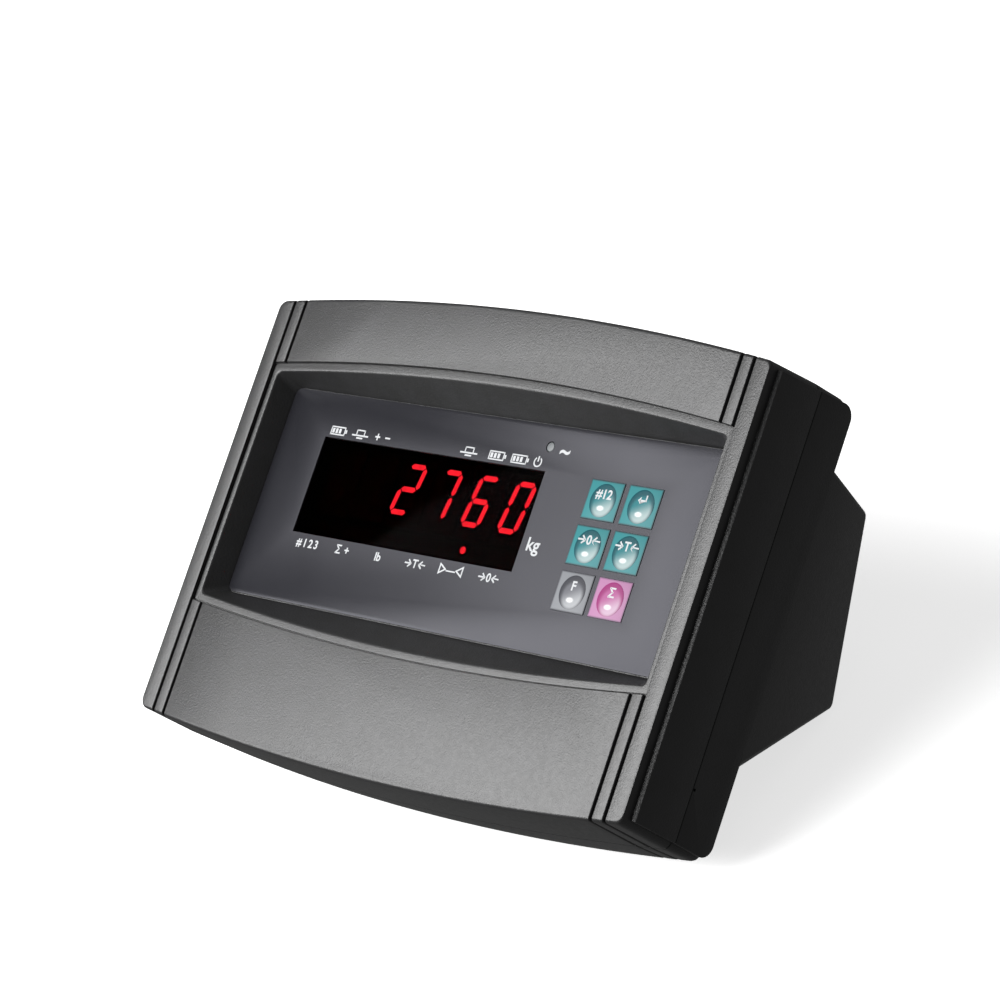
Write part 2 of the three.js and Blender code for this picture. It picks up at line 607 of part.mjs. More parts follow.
function addRearFace(group) {
  rearFace.add(piece("mains_inlet", mainsInlet(), DARK_PLASTIC));
  rearFace.add(piece("power_switch_body", powerSwitchBody(), DARK_PLASTIC));
  rearFace.add(piece("power_rocker", powerRocker(), { color: 0xa01818, roughness: 0.35 }));
  rearFace.add(piece("fuse_holder", fuseHolder(), DARK_PLASTIC));
  ["load_cell_socket", "serial_socket"].forEach((name, i) => {
    rearFace.add(piece(name, socket(DSUB.zs[i]), STEEL));
    for (const [side, hand] of [[-1, "left"], [1, "right"]]) {
      const x = DSUB.x + (side * DSUB.pitch) / 2;
      rearFace.add(piece(`${name}_jackscrew_${hand}`, jackscrew(x, DSUB.zs[i]), STEEL));
    }
  });
  group.add(rearFace);
}

function addHatch(group) {
  hatchFace.add(piece("battery_cover", batteryCover(), PLASTIC));
  const middle = (HATCH.low + HATCH.high) / 2;
  for (const [side, hand] of [[-1, "left"], [1, "right"]]) {
    const mesh = piece(`battery_cover_screw_${hand}`, screw(1.3, 7, 2.6, 1.8), STEEL);
    mesh.position.set(side * (HATCH.width / 2 - 4), GAP - 7, middle);
    hatchFace.add(mesh);
  }
  group.add(hatchFace);
}

function addScrewsAndFeet(group) {
  SCREW_PLACES.forEach(([x, z], i) => {
    const mesh = piece(`case_screw_${i + 1}`, screw(1.5, 28, 3.1, 2.2), STEEL);
    mesh.position.set(x, CASE_DEPTH - 4 + GAP - 28, z);
    group.add(mesh);
  });
  footPlaces().forEach(({ x, y }, i) => {
    const shape = solid(new THREE.CylinderGeometry(FOOT.radius, FOOT.radius - 0.6, FOOT.height, 28));
    const mesh = piece(`rubber_foot_${i + 1}`, shape, RUBBER);
    mesh.rotation.x = Math.PI / 2;
    mesh.position.set(x, y, -TABLE_DROP + FOOT.height / 2);
    upright.add(mesh);
  });
  group.add(upright);
}

const indicator = new THREE.Group();
indicator.add(piece("front_housing", frontHousing(), PLASTIC));
indicator.add(piece("rear_housing", rearHousing(), PLASTIC));
addFrontPanel(indicator);
addInside(indicator);
addRearFace(indicator);
addHatch(indicator);
addScrewsAndFeet(indicator);
indicator.rotation.x = -LEAN_BACK;

// The origin is under the middle of the whole object, on the table.
const standing = new THREE.Group();
standing.add(indicator);
standing.updateMatrixWorld(true);
const bounds = new THREE.Box3().setFromObject(standing, true);
const centre = bounds.getCenter(new THREE.Vector3());
indicator.position.set(-centre.x, -centre.y, -bounds.min.z);

export default standing;
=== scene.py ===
"""The looks of a desk-top weighing indicator, built round its packed solid model.

The case is drawn face on, in millimetres: x runs to the right, d runs back into the case from the front
surface, and z runs up the face. FACE leans it back into the model's own frame, in metres.
"""
import json
import math
from types import SimpleNamespace as Record

import bmesh
import bpy
from mathutils import Matrix, Vector


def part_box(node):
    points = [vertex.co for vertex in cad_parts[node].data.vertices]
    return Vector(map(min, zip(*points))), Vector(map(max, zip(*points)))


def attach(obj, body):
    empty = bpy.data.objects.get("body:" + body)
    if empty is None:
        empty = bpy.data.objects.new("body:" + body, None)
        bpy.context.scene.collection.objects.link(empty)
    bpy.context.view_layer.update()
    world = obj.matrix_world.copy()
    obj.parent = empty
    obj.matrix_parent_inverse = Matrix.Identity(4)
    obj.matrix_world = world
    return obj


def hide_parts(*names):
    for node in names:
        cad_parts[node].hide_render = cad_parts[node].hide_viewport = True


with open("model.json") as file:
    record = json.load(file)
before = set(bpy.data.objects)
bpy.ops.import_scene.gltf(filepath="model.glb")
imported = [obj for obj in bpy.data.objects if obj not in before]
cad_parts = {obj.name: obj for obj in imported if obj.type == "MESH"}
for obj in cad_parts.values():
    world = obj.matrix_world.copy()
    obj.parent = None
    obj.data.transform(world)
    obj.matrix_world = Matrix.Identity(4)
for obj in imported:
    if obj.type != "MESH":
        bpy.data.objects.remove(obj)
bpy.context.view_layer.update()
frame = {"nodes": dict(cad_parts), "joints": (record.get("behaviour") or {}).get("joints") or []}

MM = 0.001

# ---- driving sizes, in millimetres, as the solid model has them ----

# The case: a block arched at top and bottom, in two halves, with a thin cheek on each side.
BLOCK_HALF = 126.5
CORNER_TOP = 83.3
CORNER_BOTTOM = 83.6
ARCH_TOP = 7.7
ARCH_BOTTOM = 7.0
CASE_DEPTH = 47.0
SEAM_DEPTH = 27.5
SEAM_GAP = 0.3
DRAFT = 1.4
WALL = 2.6
FRONT_RADIUS = 1.3
REAR_RADIUS = 5.2
CORNER_RADIUS = 3.2
CHEEK_HALF = 128.4
CHEEK_INNER = 118.0
CHEEK_FRONT = 4.5
CHEEK_HEIGHT = 81.4
CHEEK_SPREAD = 1.9
GROOVES = (112.4, 118.5)
GROOVE_WIDTH = 1.2
GROOVE_DEPTH = 1.6
# The recess in its face, and the flat panel at the bottom of it.
PILLAR_INNER = 119.1
BORDER_DEPTH = 1.4
BORDER_WIDTH = 3.4
RECESS_HALF = 116.2
RECESS_BELOW_TOP = 29.3
RECESS_ABOVE_BOTTOM = 48.9
PANEL_HALF = 112.3
PANEL_TOP = 52.5
PANEL_BOTTOM = -31.5
PANEL_DEPTH = 10.1
FLOOR_DEPTH = 11.0
FLOOR_BACK = 13.2
# The bulge at the back, as (d, z) corners of its side view.
BULGE_TOP_REAR = (83.1, 56.1)
BULGE_LOW_REAR = (105.2, -12.4)
BULGE_LOW_ROOT = (47.0, -50.1)
BULGE_PROFILE = ((34.0, 62.3), (47.0, 60.7), BULGE_TOP_REAR, BULGE_LOW_REAR, BULGE_LOW_ROOT, (34.0, -59.1))
BULGE_TAPER = 0.27

# What is on the panel. Each key has a name, a sign and a colour.
WINDOW = Record(x=-28.8, z=15.4, width=117.8, height=38.6)
LAMP = Record(x=28.7, z=43.9, radius=1.9)
KEY = Record(width=16.1, height=14.7, clearance=0.25, proud=0.3)
KEY_COLUMNS = (62.1, 80.5)
KEY_ROWS = (27.3, 10.05, -7.2)
KEYS = (
    ("count", "#12", "key_teal"), ("enter", "\u21b5", "key_teal"), ("zero", "\u21920\u2190", "key_teal"),
    ("tare", "\u2192T\u2190", "key_teal"), ("function", "F", "key_grey"), ("total", "\u03a3", "key_pink"),
)
BALL = (6.0, 6.3)

# The air between two pieces, and the thickness of a printed sign.
GAP = 0.3
INK = 0.04

# The figures: which segments are lit, where each one runs, and the modules that hold them.
SHOWN = "  2760"
LIT = {"0": "abcdef", "2": "abged", "6": "acdefg", "7": "abc", " ": ""}
SEGMENT = Record(half_width=4.15, half_height=9.1, stroke=2.0, tip=0.34)
SLANT = math.tan(math.radians(9.5))
SEGMENTS = {
    "a": ((-1, 1), (1, 1)), "b": ((1, 1), (1, 0)), "c": ((1, 0), (1, -1)), "d": ((-1, -1), (1, -1)),
    "e": ((-1, 0), (-1, -1)), "f": ((-1, 1), (-1, 0)), "g": ((-1, 0), (1, 0)),
}
DIGIT = Record(
    pitch=19.05, width=18.6, height=27.5, z=19.6, front=15.4, back=23.0,
    figure_x=-1.6, figure_z=20.7, point_x=5.0, point_z=11.0,
)
STATUS = Record(xs=(-81.1, -61.7, -42.2, -22.1, -3.9, 16.3), lit_x=-3.9, z=2.1, front=17.1)

# What is let into the back, and what the case stands on.
SCREW_PLACES = [(x, z) for x in (-104, 104) for z in (74, -74)]
CASE_SCREW = Record(boss=5.2, bore=3.7, pilot=1.8, sunk=4, radius=1.5, length=28, head=3.1)
COVER_SCREW = Record(pilot=1.6, inset=4, radius=1.3, length=7, head=2.6)
VENTS = Record(count=9, pitch=8, width=2.4, length=13, z=-66)
SEAM_DOT = Record(d=28.3, z=-63, radius=0.6)
FEET = [(side * x, d, z) for x, d, z in ((92, 47, -70), (78, 95, -16.8)) for side in (-1, 1)]
TABLE_DROP = 94.0
FOOT = Record(radius=6.5, height=2.5, pedestal=8.0)
HATCH = Record(width=112.0, low=-33.0, high=27.0, thickness=2.0, rim=4.0)
INLET = Record(x=82.0, z=-3.0, width=27.0, height=19.6, flange=(31.0, 24.0))
SWITCH = Record(x=57.5, z=-3.0, width=12.6, height=19.2, flange=(15.0, 21.4))
FUSE = Record(x=82.0, z=22.0, radius=5.6, cap=7.2)
DSUB = Record(x=-72.0, width=17.8, height=9.6, flange=(30.8, 12.5), pitch=25.0, hole=1.8)
DSUB_PLACES = (("load_cell_socket", 12.0), ("serial_socket", -12.0))

# How finely curves are drawn.
ARCH_STEPS = 60
ARCH_REACH = 120.0
CORNER_STEPS = 6
EASE_STEPS = 6

# ---- the frames that pieces are drawn in ----

press = next(joint for joint in frame["joints"] if joint["name"] == "zero_press")
INTO = Vector(press["axis"]).normalized()
UP_FACE = Vector((0, -INTO.z, INTO.y))
OVERLAY_MIDDLE = Vector((0, PANEL_DEPTH + 0.3, (PANEL_TOP + PANEL_BOTTOM) / 2))
overlay_low, overlay_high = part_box("keypad_overlay")
turn = Matrix(((1, 0, 0), (0, INTO.y, UP_FACE.y), (0, INTO.z, UP_FACE.z))).to_4x4()
FACE = (
    Matrix.Translation((overlay_low + overlay_high) / 2)
    @ turn
    @ Matrix.Scale(MM, 4)
    @ Matrix.Translation(-OVERLAY_MIDDLE)
)

# ---- nodes and materials ----


def linear(code):
    """An sRGB hex colour as linear RGBA."""
    parts = [int(code[i : i + 2], 16) / 255 for i in (1, 3, 5)]
    return [p / 12.92 if p <= 0.04045 else ((p + 0.055) / 1.055) ** 2.4 for p in parts] + [1]


def add(tree, kind, inputs=None, **settings):
    """Adds one node, with its settings, and each input either linked from a socket or set to a value."""
    node = tree.nodes.new(kind)
    for key, value in settings.items():
        setattr(node, key, value)
    for key, value in (inputs or {}).items():
        if isinstance(value, bpy.types.NodeSocket):
            tree.links.new(value, node.inputs[key])
        else:
            node.inputs[key].default_value = value
    return node


def surface(name, colour, roughness, **inputs):
    """A new material with one Principled shader, its tree, and its coordinates in millimetres."""
    material = bpy.data.materials.new(name)
    material.use_nodes = True
    tree = material.node_tree
    shader = tree.nodes["Principled BSDF"]
    shader.inputs["Base Color"].default_value = linear(colour)
    shader.inputs["Roughness"].default_value = roughness
    for key, value in inputs.items():
        shader.inputs[key].default_value = value
    place = add(tree, "ShaderNodeTexCoord").outputs["Object"]
    scaled = add(tree, "ShaderNodeVectorMath", {0: place, 3: 1 / MM}, operation="SCALE")
    return Record(material=material, tree=tree, shader=shader, where=scaled.outputs[0])


def mottle(at, scale, low, high):
    """A soft noise of one feature for each 1/scale millimetres, spread from low to high."""
    noise = add(at.tree, "ShaderNodeTexNoise", {"Vector": at.where, "Scale": scale, "Detail": 3.0})
    spread = {"Value": noise.outputs["Fac"], 1: 0.25, 2: 0.75, 3: low, 4: high}
    return add(at.tree, "ShaderNodeMapRange", spread, interpolation_type="SMOOTHSTEP").outputs[0]


def uneven(at, scale, low, high, socket="Roughness"):
    """Lets one of the shader's values wander between two levels."""
    at.tree.links.new(mottle(at, scale, low, high), at.shader.inputs[socket])


def tinted(at, scale, dark, light):
    """Colour that wanders between two close tones, so that the surface isn't one flat colour."""
    tones = {0: mottle(at, scale, 0, 1), 6: linear(dark), 7: linear(light)}
    mix = add(at.tree, "ShaderNodeMix", tones, data_type="RGBA")
    at.tree.links.new(mix.outputs[2], at.shader.inputs["Base Color"])


def grain(at, scale, height_mm):
    """A fine moulded grain, one bump for each 1/scale millimetres."""
    noise = add(at.tree, "ShaderNodeTexNoise", {"Vector": at.where, "Scale": scale, "Detail": 2.0})
    height = {"Height": noise.outputs["Fac"], "Distance": height_mm * MM, "Strength": 1.0}
    bump = add(at.tree, "ShaderNodeBump", height)
    at.tree.links.new(bump.outputs[0], at.shader.inputs["Normal"])


def charcoal_abs():
    """Charcoal ABS, injection moulded in a spark-eroded mould: an even satin with a fine grain."""
    at = surface("charcoal_abs_spark_eroded", "#282828", 0.36)
    tinted(at, 0.12, "#262626", "#2a2a2b")
    uneven(at, 0.5, 0.33, 0.39)
    grain(at, 1.5, 0.1)
    return at.material


def plain_finish(name, colour, roughness, shade, scale):
    """A moulded or cast finish: two close tones and a slight grain."""
    at = surface(name, colour, roughness)
    tinted(at, scale, colour, shade)
    grain(at, scale * 4, 0.02)
    return at.material


# ---- mesh tools: pieces are made in millimetres, face on, and placed at the end ----


def linked(name, data):
    """A new object of some data, in the scene."""
    made = bpy.data.objects.new(name, data)
    bpy.context.scene.collection.objects.link(made)
    return made


def piece_of(name, points, faces):
    mesh = bpy.data.meshes.new(name)
    mesh.from_pydata([tuple(p) for p in points], [], faces)
    mesh.update()
    return linked(name, mesh)


def reshape(piece, work):
    """Runs bmesh work on a piece's mesh."""
    shape = bmesh.new()
    shape.from_mesh(piece.data)
    work(shape)
    shape.to_mesh(piece.data)
    shape.free()
    return piece


def plain_mesh(thing):
    """The mesh that an object comes to, with its modifiers or letters worked out."""
    graph = bpy.context.evaluated_depsgraph_get()
    return bpy.data.meshes.new_from_object(thing.evaluated_get(graph), depsgraph=graph)


def settle(piece):
    """Turns a piece's modifiers into its plain mesh."""
    made = plain_mesh(piece)
    piece.modifiers.clear()
    piece.data = made
    return piece


def combine(operation, piece, *others):
    """Cuts or joins closed pieces with exact booleans, and removes the others."""
    for other in others:
        change = piece.modifiers.new("combine", "BOOLEAN")
        change.operation = operation
        change.solver = "EXACT"
        change.object = other
    settle(piece)
    for other in others:
        bpy.data.objects.remove(other)
    return piece


def cut(piece, *others):
    return combine("DIFFERENCE", piece, *others)


def join(piece, *others):
    return combine("UNION", piece, *others)


def rounded(piece, width, segments=3, angle=40):
    """Rounds every edge that is sharper than an angle."""
    bevel = piece.modifiers.new("round", "BEVEL")
    bevel.width = width
    bevel.segments = segments
    bevel.limit_method = "ANGLE"
    bevel.angle_limit = math.radians(angle)
    return settle(piece)


def loft(name, rings):
    """A closed solid through rings of equal length, each end closed by one face."""
    count = len(rings[0])
    faces = []
    for level in range(len(rings) - 1):
        for i in range(count):
            a, b = level * count + i, level * count + (i + 1) % count
            faces.append((a, b, b + count, a + count))
    last = (len(rings) - 1) * count
    faces += [tuple(reversed(range(count))), tuple(range(last, last + count))]
    piece = piece_of(name, [p for ring in rings for p in ring], faces)
    return reshape(piece, lambda shape: bmesh.ops.recalc_face_normals(shape, faces=shape.faces))


def hull(name, points):
    """The convex solid round some points, each flat side one face."""
    def work(shape):
        bmesh.ops.convex_hull(shape, input=shape.verts)
        bmesh.ops.dissolve_limit(shape, verts=shape.verts, edges=shape.edges, angle_limit=math.radians(0.5))
        bmesh.ops.recalc_face_normals(shape, faces=shape.faces)
    return reshape(piece_of(name, points, []), work)


def arc_point(start, corner, end, sharpness, t):
    """A point on the round arc that runs from start to end and touches both lines to the corner."""
    near, middle, far = (1 - t) ** 2, 2 * t * (1 - t) * sharpness, t * t
    return (start * near + corner * middle + end * far) / (near + middle + far)


def eased(before, corner, after, radius):
    """Points on a small round from one straight run into the next."""
    back, on = before - corner, after - corner
    start = corner + back.normalized() * min(radius, back.length * 0.48)
    end = corner + on.normalized() * min(radius, on.length * 0.48)
    sharpness = math.sqrt(max(0.0, 1 - back.normalized().dot(on.normalized())) / 2)
    return [arc_point(start, corner, end, sharpness, i / EASE_STEPS) for i in range(EASE_STEPS + 1)]


def rounded_stack(stack):
    """Rings through a stack of (ring, radius), each ring's edge rounded by its radius."""
    rings = []
    for level, (ring, radius) in enumerate(stack):
        if not radius:
            rings.append(ring)
            continue
        before, after = stack[level - 1][0], stack[level + 1][0]
        spans = [eased(*three, radius) for three in zip(before, ring, after)]
        rings += [list(row) for row in zip(*spans)]
    return rings


def prism(points, d0, d1, name="prism"):
    """A solid between two depths, from an outline of x and z."""
    return loft(name, [[Vector((x, d, z)) for x, z in points] for d in (d0, d1)])


def box(x0, d0, z0, x1, d1, z1, name="box"):
    return prism(((x0, z0), (x1, z0), (x1, z1), (x0, z1)), d0, d1, name)


def slab(x, z, width, height, d0, d1, name="slab"):
    return box(x - width / 2, d0, z - height / 2, x + width / 2, d1, z + height / 2, name)


def over(area, grow, d0, d1, name="slab"):
    """A slab over a named area, grown on all sides together by an amount."""
    return slab(area.x, area.z, area.width + grow, area.height + grow, d0, d1, name)


def turns(sides):
    return [math.tau * i / sides for i in range(sides)]


def oval(x, z, wide, tall, depth, sides):
    return [Vector((x + wide * math.cos(a), depth, z + tall * math.sin(a))) for a in turns(sides)]


def rod(x, z, radius, d0, d1, sides=32, name="rod"):
    return loft(name, [oval(x, z, radius, radius, d, sides) for d in (d0, d1)])


def lathe(name, steps, sides):
    """A solid turned about y, through steps of (radius, y)."""
    return loft(name, [oval(0, 0, radius, radius, y, sides) for radius, y in steps])


def smooth(piece, angle=30):
    """Smooth shading, sharp where two faces meet at more than an angle."""
    piece.data.shade_smooth()
    piece.data.set_sharp_from_angle(angle=math.radians(angle))
    return piece


def clean(piece):
    """Merges doubles and joins faces that lie in one plane."""
    flat = math.radians(0.2)

    def work(shape):
        verts, edges = shape.verts, shape.edges
        bmesh.ops.remove_doubles(shape, verts=verts, dist=0.002)
        bmesh.ops.dissolve_degenerate(shape, edges=edges, dist=0.001)
        bmesh.ops.dissolve_limit(shape, verts=verts, edges=edges, angle_limit=flat, delimit={"NORMAL"})

    return reshape(piece, work)


def place(piece, material, stands_for=(), slot=None, body="case", at=FACE):
    """Puts a finished piece where it belongs, hangs it on the body it rides on, and hides the parts it
    stands for.
    """
    piece.data.transform(at)
    piece.data.materials.clear()
    piece.data.materials.append(material)
    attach(piece, body)
    if stands_for:
        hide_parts(*stands_for)
    return piece


# ---- the case's outlines ----

def arch(x):
    return 1 - (x / BLOCK_HALF) ** 2


def top_edge(x):
    return CORNER_TOP + ARCH_TOP * arch(x)


def bottom_edge(x):
    return -CORNER_BOTTOM - ARCH_BOTTOM * arch(x)


def corner_arc(x, z, radius, first):
    """Points on a quarter circle round a middle, from a number of quarter turns."""
    angles = [math.radians(90) * (first + i / CORNER_STEPS) for i in range(CORNER_STEPS + 1)]
    return [(x + radius * math.cos(a), z + radius * math.sin(a)) for a in angles]


def outline(depth, half, low, high, radius, reach):
    """A ring at one depth, its low and high edges functions of x out to a reach, with round corners."""
    stations = [reach * (2 * i / ARCH_STEPS - 1) for i in range(ARCH_STEPS + 1)]
    middle = half - radius
    bottom, top = low(middle) + radius, high(middle) - radius
    points = [(x, low(x)) for x in stations]
    points += corner_arc(middle, bottom, radius, -1) + corner_arc(middle, top, radius, 0)
    points += [(x, high(x)) for x in reversed(stations)]
    points += corner_arc(-middle, top, radius, 1) + corner_arc(-middle, bottom, radius, 2)
    return [Vector((x, depth, z)) for x, z in points]


def block_ring(depth, inset, spread=0.0):
    """The block's own outline, moved inwards by an inset, its top and bottom spread apart."""
    half, out = BLOCK_HALF - inset, spread - inset
    return outline(
        depth, half, lambda x: bottom_edge(x) - out, lambda x: top_edge(x) + out,
        max(CORNER_RADIUS - inset, 0.8), min(ARCH_REACH, half - 2),
    )


def recess_top(x):
    return top_edge(x) - RECESS_BELOW_TOP


def recess_bottom(x):
    return bottom_edge(x) + RECESS_ABOVE_BOTTOM


def border_ring(depth, inset=0.0):
    """The edge of the raised frame round the recess, pulled in by an inset."""
    return outline(
        depth, PILLAR_INNER - inset, lambda x: recess_bottom(x) - BORDER_WIDTH + inset,
        lambda x: recess_top(x) + BORDER_WIDTH - inset, 1.2, PILLAR_INNER - 2.6,
    )


def lip_ring(depth):
    return outline(depth, RECESS_HALF, recess_bottom, recess_top, 2.4, RECESS_HALF - 3.6)


def pocket_ring(depth):
    return outline(depth, PANEL_HALF, lambda x: PANEL_BOTTOM, lambda x: PANEL_TOP, 3.2, PANEL_HALF - 4.4)


def groove_cutter(x, side, start, end):
    """A cutter with flared lips along the case's skin, between two of its stages from front to back."""
    half, flare = GROOVE_WIDTH / 2, 0.45
    turns = [math.radians(90) * i / 4 for i in range(5)]
    left = [(-half - flare + flare * math.sin(a), -flare + flare * math.cos(a)) for a in turns]
    section = [(-half - flare, 4.0), *left, (-half, -GROOVE_DEPTH)]
    section += [(-dx, height) for dx, height in reversed(section)]

    def skin(dx, stage):
        """Points down the front, round its edge, back along the case, and round the rear edge."""
        rim = top_edge(x + dx) if side > 0 else -bottom_edge(x + dx)
        inner = (recess_top(x) if side > 0 else -recess_bottom(x)) + BORDER_WIDTH - 0.6
        spread = Vector((SEAM_DEPTH, rim + DRAFT))
        front = [Vector((0, rim - FRONT_RADIUS)), Vector((0, rim)), Vector((FRONT_RADIUS, rim + 0.07))]
        rear = [
            Vector((CASE_DEPTH - REAR_RADIUS, spread.y)), Vector((CASE_DEPTH, spread.y)),
            Vector((CASE_DEPTH, spread.y - REAR_RADIUS)),
        ]
        bend = [i / EASE_STEPS for i in range(EASE_STEPS + 1)]
        round_off = math.sqrt(0.5)
        return {
            "front": [Vector((0, inner))],
            "front_edge": [arc_point(*front, round_off, t) for t in bend],
            "seam": [spread + Vector((0.6, 0))],
            "rear_seam": [spread - Vector((0.6, 0))],
            "rear_edge": [arc_point(*rear, round_off, t) for t in bend],
            "rear": [Vector((CASE_DEPTH, spread.y - 12))],
        }[stage]

    stages = ["front", "front_edge", "seam", "rear_seam", "rear_edge", "rear"]
    used = stages[stages.index(start) : stages.index(end) + 1]
    paths = [[point for stage in used for point in skin(dx, stage)] for dx, _ in section]
    rings = []
    for step in range(len(paths[0])):
        ring = []
        for (dx, height), path in zip(section, paths):
            along = path[min(step + 1, len(path) - 1)] - path[max(step - 1, 0)]
            point = path[step] + Vector((-along.y, along.x)).normalized() * height
            ring.append(Vector((x + dx, point.x, side * point.y)))
        rings.append(ring)
    return loft("groove", rings)


def grooves(start, end):
    spots = [(sign * x, side) for x in GROOVES for sign in (-1, 1) for side in (-1, 1)]
    return [groove_cutter(x, side, start, end) for x, side in spots]


def cheek_height(depth):
    return CHEEK_HEIGHT + CHEEK_SPREAD * (depth - CHEEK_FRONT) / (CASE_DEPTH - CHEEK_FRONT)


def cheek(side, d0, d1, rear_radius, slant=0.0):
    """One thin side plate: rear corners rounded in the side view, front edge slanting back outwards."""
    top = [(d0, cheek_height(d0)), (d1, cheek_height(d1))]
    if rear_radius:
        steps = 8
        arc = []
        for i in range(steps + 1):
            angle = math.radians(90) * i / steps
            arc.append((
                d1 - rear_radius + rear_radius * math.sin(angle),
                cheek_height(d1) - rear_radius + rear_radius * math.cos(angle),
            ))
        top = [top[0], *arc]
    profile = top + [(d, -z) for d, z in reversed(top)]
    rings = []
    for x, back in ((CHEEK_INNER, 0), (BLOCK_HALF, 0), (CHEEK_HALF, slant)):
        rings.append([Vector((side * x, d + (back if d == d0 else 0), z)) for d, z in profile])
    return rounded(loft("cheek", rings), 0.25)


# ---- frames of the surfaces at the back, in the case's own millimetres ----


def leaning(low, high, turn):
    """A frame whose y axis points out of the bulge face that runs between two profile points."""
    middle = Matrix.Translation((0, (low[0] + high[0]) / 2, (low[1] + high[1]) / 2))
    return middle @ Matrix.Rotation(turn, 4, "X")


REAR_FACE = leaning(
    BULGE_TOP_REAR, BULGE_LOW_REAR,
    math.atan2(BULGE_LOW_REAR[0] - BULGE_TOP_REAR[0], BULGE_TOP_REAR[1] - BULGE_LOW_REAR[1]),
)
HATCH_FACE = leaning(
    BULGE_LOW_ROOT, BULGE_LOW_REAR,
    -math.atan2(BULGE_LOW_REAR[0] - BULGE_LOW_ROOT[0], BULGE_LOW_REAR[1] - BULGE_LOW_ROOT[1]),
)
UPRIGHT = Matrix.Rotation(math.atan2(UP_FACE.y, UP_FACE.z), 4, "X")
STANDING = Matrix.Rotation(math.radians(90), 4, "X")
HATCH_MIDDLE = (HATCH.low + HATCH.high) / 2
HATCH_HEIGHT = HATCH.high - HATCH.low
COVER_SCREW_X = HATCH.width / 2 - COVER_SCREW.inset


def moved(piece, frame_at):
    piece.data.transform(frame_at)
    return piece


def scattered(name, base, spots):
    """Copies of a base solid at a list of spots, made by Geometry Nodes as one plain mesh."""
    points = piece_of(name, spots, [])
    tree = bpy.data.node_groups.new(name, "GeometryNodeTree")
    face = tree.interface
    face.new_socket("Points", in_out="INPUT", socket_type="NodeSocketGeometry")
    stamp = face.new_socket("Stamp", in_out="INPUT", socket_type="NodeSocketObject")
    finish = face.new_socket("Finish", in_out="INPUT", socket_type="NodeSocketMaterial")
    face.new_socket("Made", in_out="OUTPUT", socket_type="NodeSocketGeometry")
    given = tree.nodes.new("NodeGroupInput")
    shape = add(tree, "GeometryNodeObjectInfo", {"Object": given.outputs["Stamp"]}).outputs["Geometry"]
    spread = {"Points": given.outputs["Points"], "Instance": shape}
    copies = add(tree, "GeometryNodeInstanceOnPoints", spread)
    real = add(tree, "GeometryNodeRealizeInstances", {0: copies.outputs[0]})
    coat = {"Geometry": real.outputs[0], "Material": given.outputs["Finish"]}
    coated = add(tree, "GeometryNodeSetMaterial", coat)
    add(tree, "NodeGroupOutput", {"Made": coated.outputs[0]})
    repeat = points.modifiers.new("repeat", "NODES")
    repeat.node_group = tree
    repeat[stamp.identifier] = base
    repeat[finish.identifier] = PRIMER
    settle(points)
    bpy.data.objects.remove(base)
    return points


# ---- housings ----


def key_places():
    return [(x, z) for z in KEY_ROWS for x in KEY_COLUMNS]


def panel_holes(start, lamp_clearance):
    """Cutters for the window and the lamp, from a depth backwards."""
    lamp = rod(LAMP.x, LAMP.z, LAMP.radius + lamp_clearance, start, 20)
    return [over(WINDOW, 0, start, 20), lamp]


def key_holes(start, clearance):
    wide, tall = KEY.width + 2 * clearance, KEY.height + 2 * clearance
    return [slab(x, z, wide, tall, start, 20) for x, z in key_places()]


def seam_dot():
    """A small blind hole in the side, on the line where the two halves meet."""
    hole = rod(-SEAM_DOT.d, SEAM_DOT.z, SEAM_DOT.radius, 126.8, 130, 16)
    return moved(hole, Matrix.Rotation(math.radians(-90), 4, "Z"))


def front_shell():
    seam = SEAM_DEPTH - SEAM_GAP / 2
    body = loft("front_shell", rounded_stack([
        (block_ring(FLOOR_BACK, WALL), 0),
        (block_ring(seam, WALL), 0),
        (block_ring(seam, 0, DRAFT), 0.3),
        (block_ring(0, 0), FRONT_RADIUS),
        (border_ring(0), 0.35),
        (border_ring(BORDER_DEPTH + 0.5, 0.1), 0),
        (border_ring(BORDER_DEPTH + 0.5, 0.45), 0),
        (border_ring(BORDER_DEPTH, 0.55), 0.1),
        (lip_ring(BORDER_DEPTH), 0.8),
        (pocket_ring(FLOOR_DEPTH), 0),
    ]))
    join(body, *[cheek(side, CHEEK_FRONT - 0.3, seam, 0, 0.6) for side in (-1, 1)])
    cut(body, *grooves("front", "seam"))
    cut(body, *panel_holes(5, GAP), seam_dot(), *key_holes(5, KEY.clearance))
    return smooth(clean(body))


def bulge(name, inset):
    """The swelling at the back: its side profile, pulled in by an inset, with sides that taper."""
    points = [Vector(p) for p in BULGE_PROFILE]
    moved_in = []
    for i, point in enumerate(points):
        before = (point - points[i - 1]).normalized()
        after = (points[(i + 1) % len(points)] - point).normalized()
        inward = Vector((before.y + after.y, -before.x - after.x)).normalized()
        moved_in.append(point + inward * (inset / inward.dot(Vector((before.y, -before.x)))))
    half = CHEEK_HALF - 0.02 - inset
    corners = []
    for side in (-1, 1):
        for d, z in moved_in:
            corners.append((side * (half - BULGE_TAPER * max(0.0, d - CASE_DEPTH)), d, z))
    return hull(name, corners)


def pedestal_solids():
    """Upright pillars down to the feet; the case leans, so they meet it at a slant."""
    low = -TABLE_DROP + FOOT.height + GAP
    pillars = []
    for spot in FEET:
        x, y, z = UPRIGHT.inverted() @ Vector(spot)
        pillar = moved(rod(x, -y, FOOT.pedestal, low, z + 6, 48), STANDING)
        pillars.append(moved(rounded(pillar, 0.5), UPRIGHT))
    return pillars


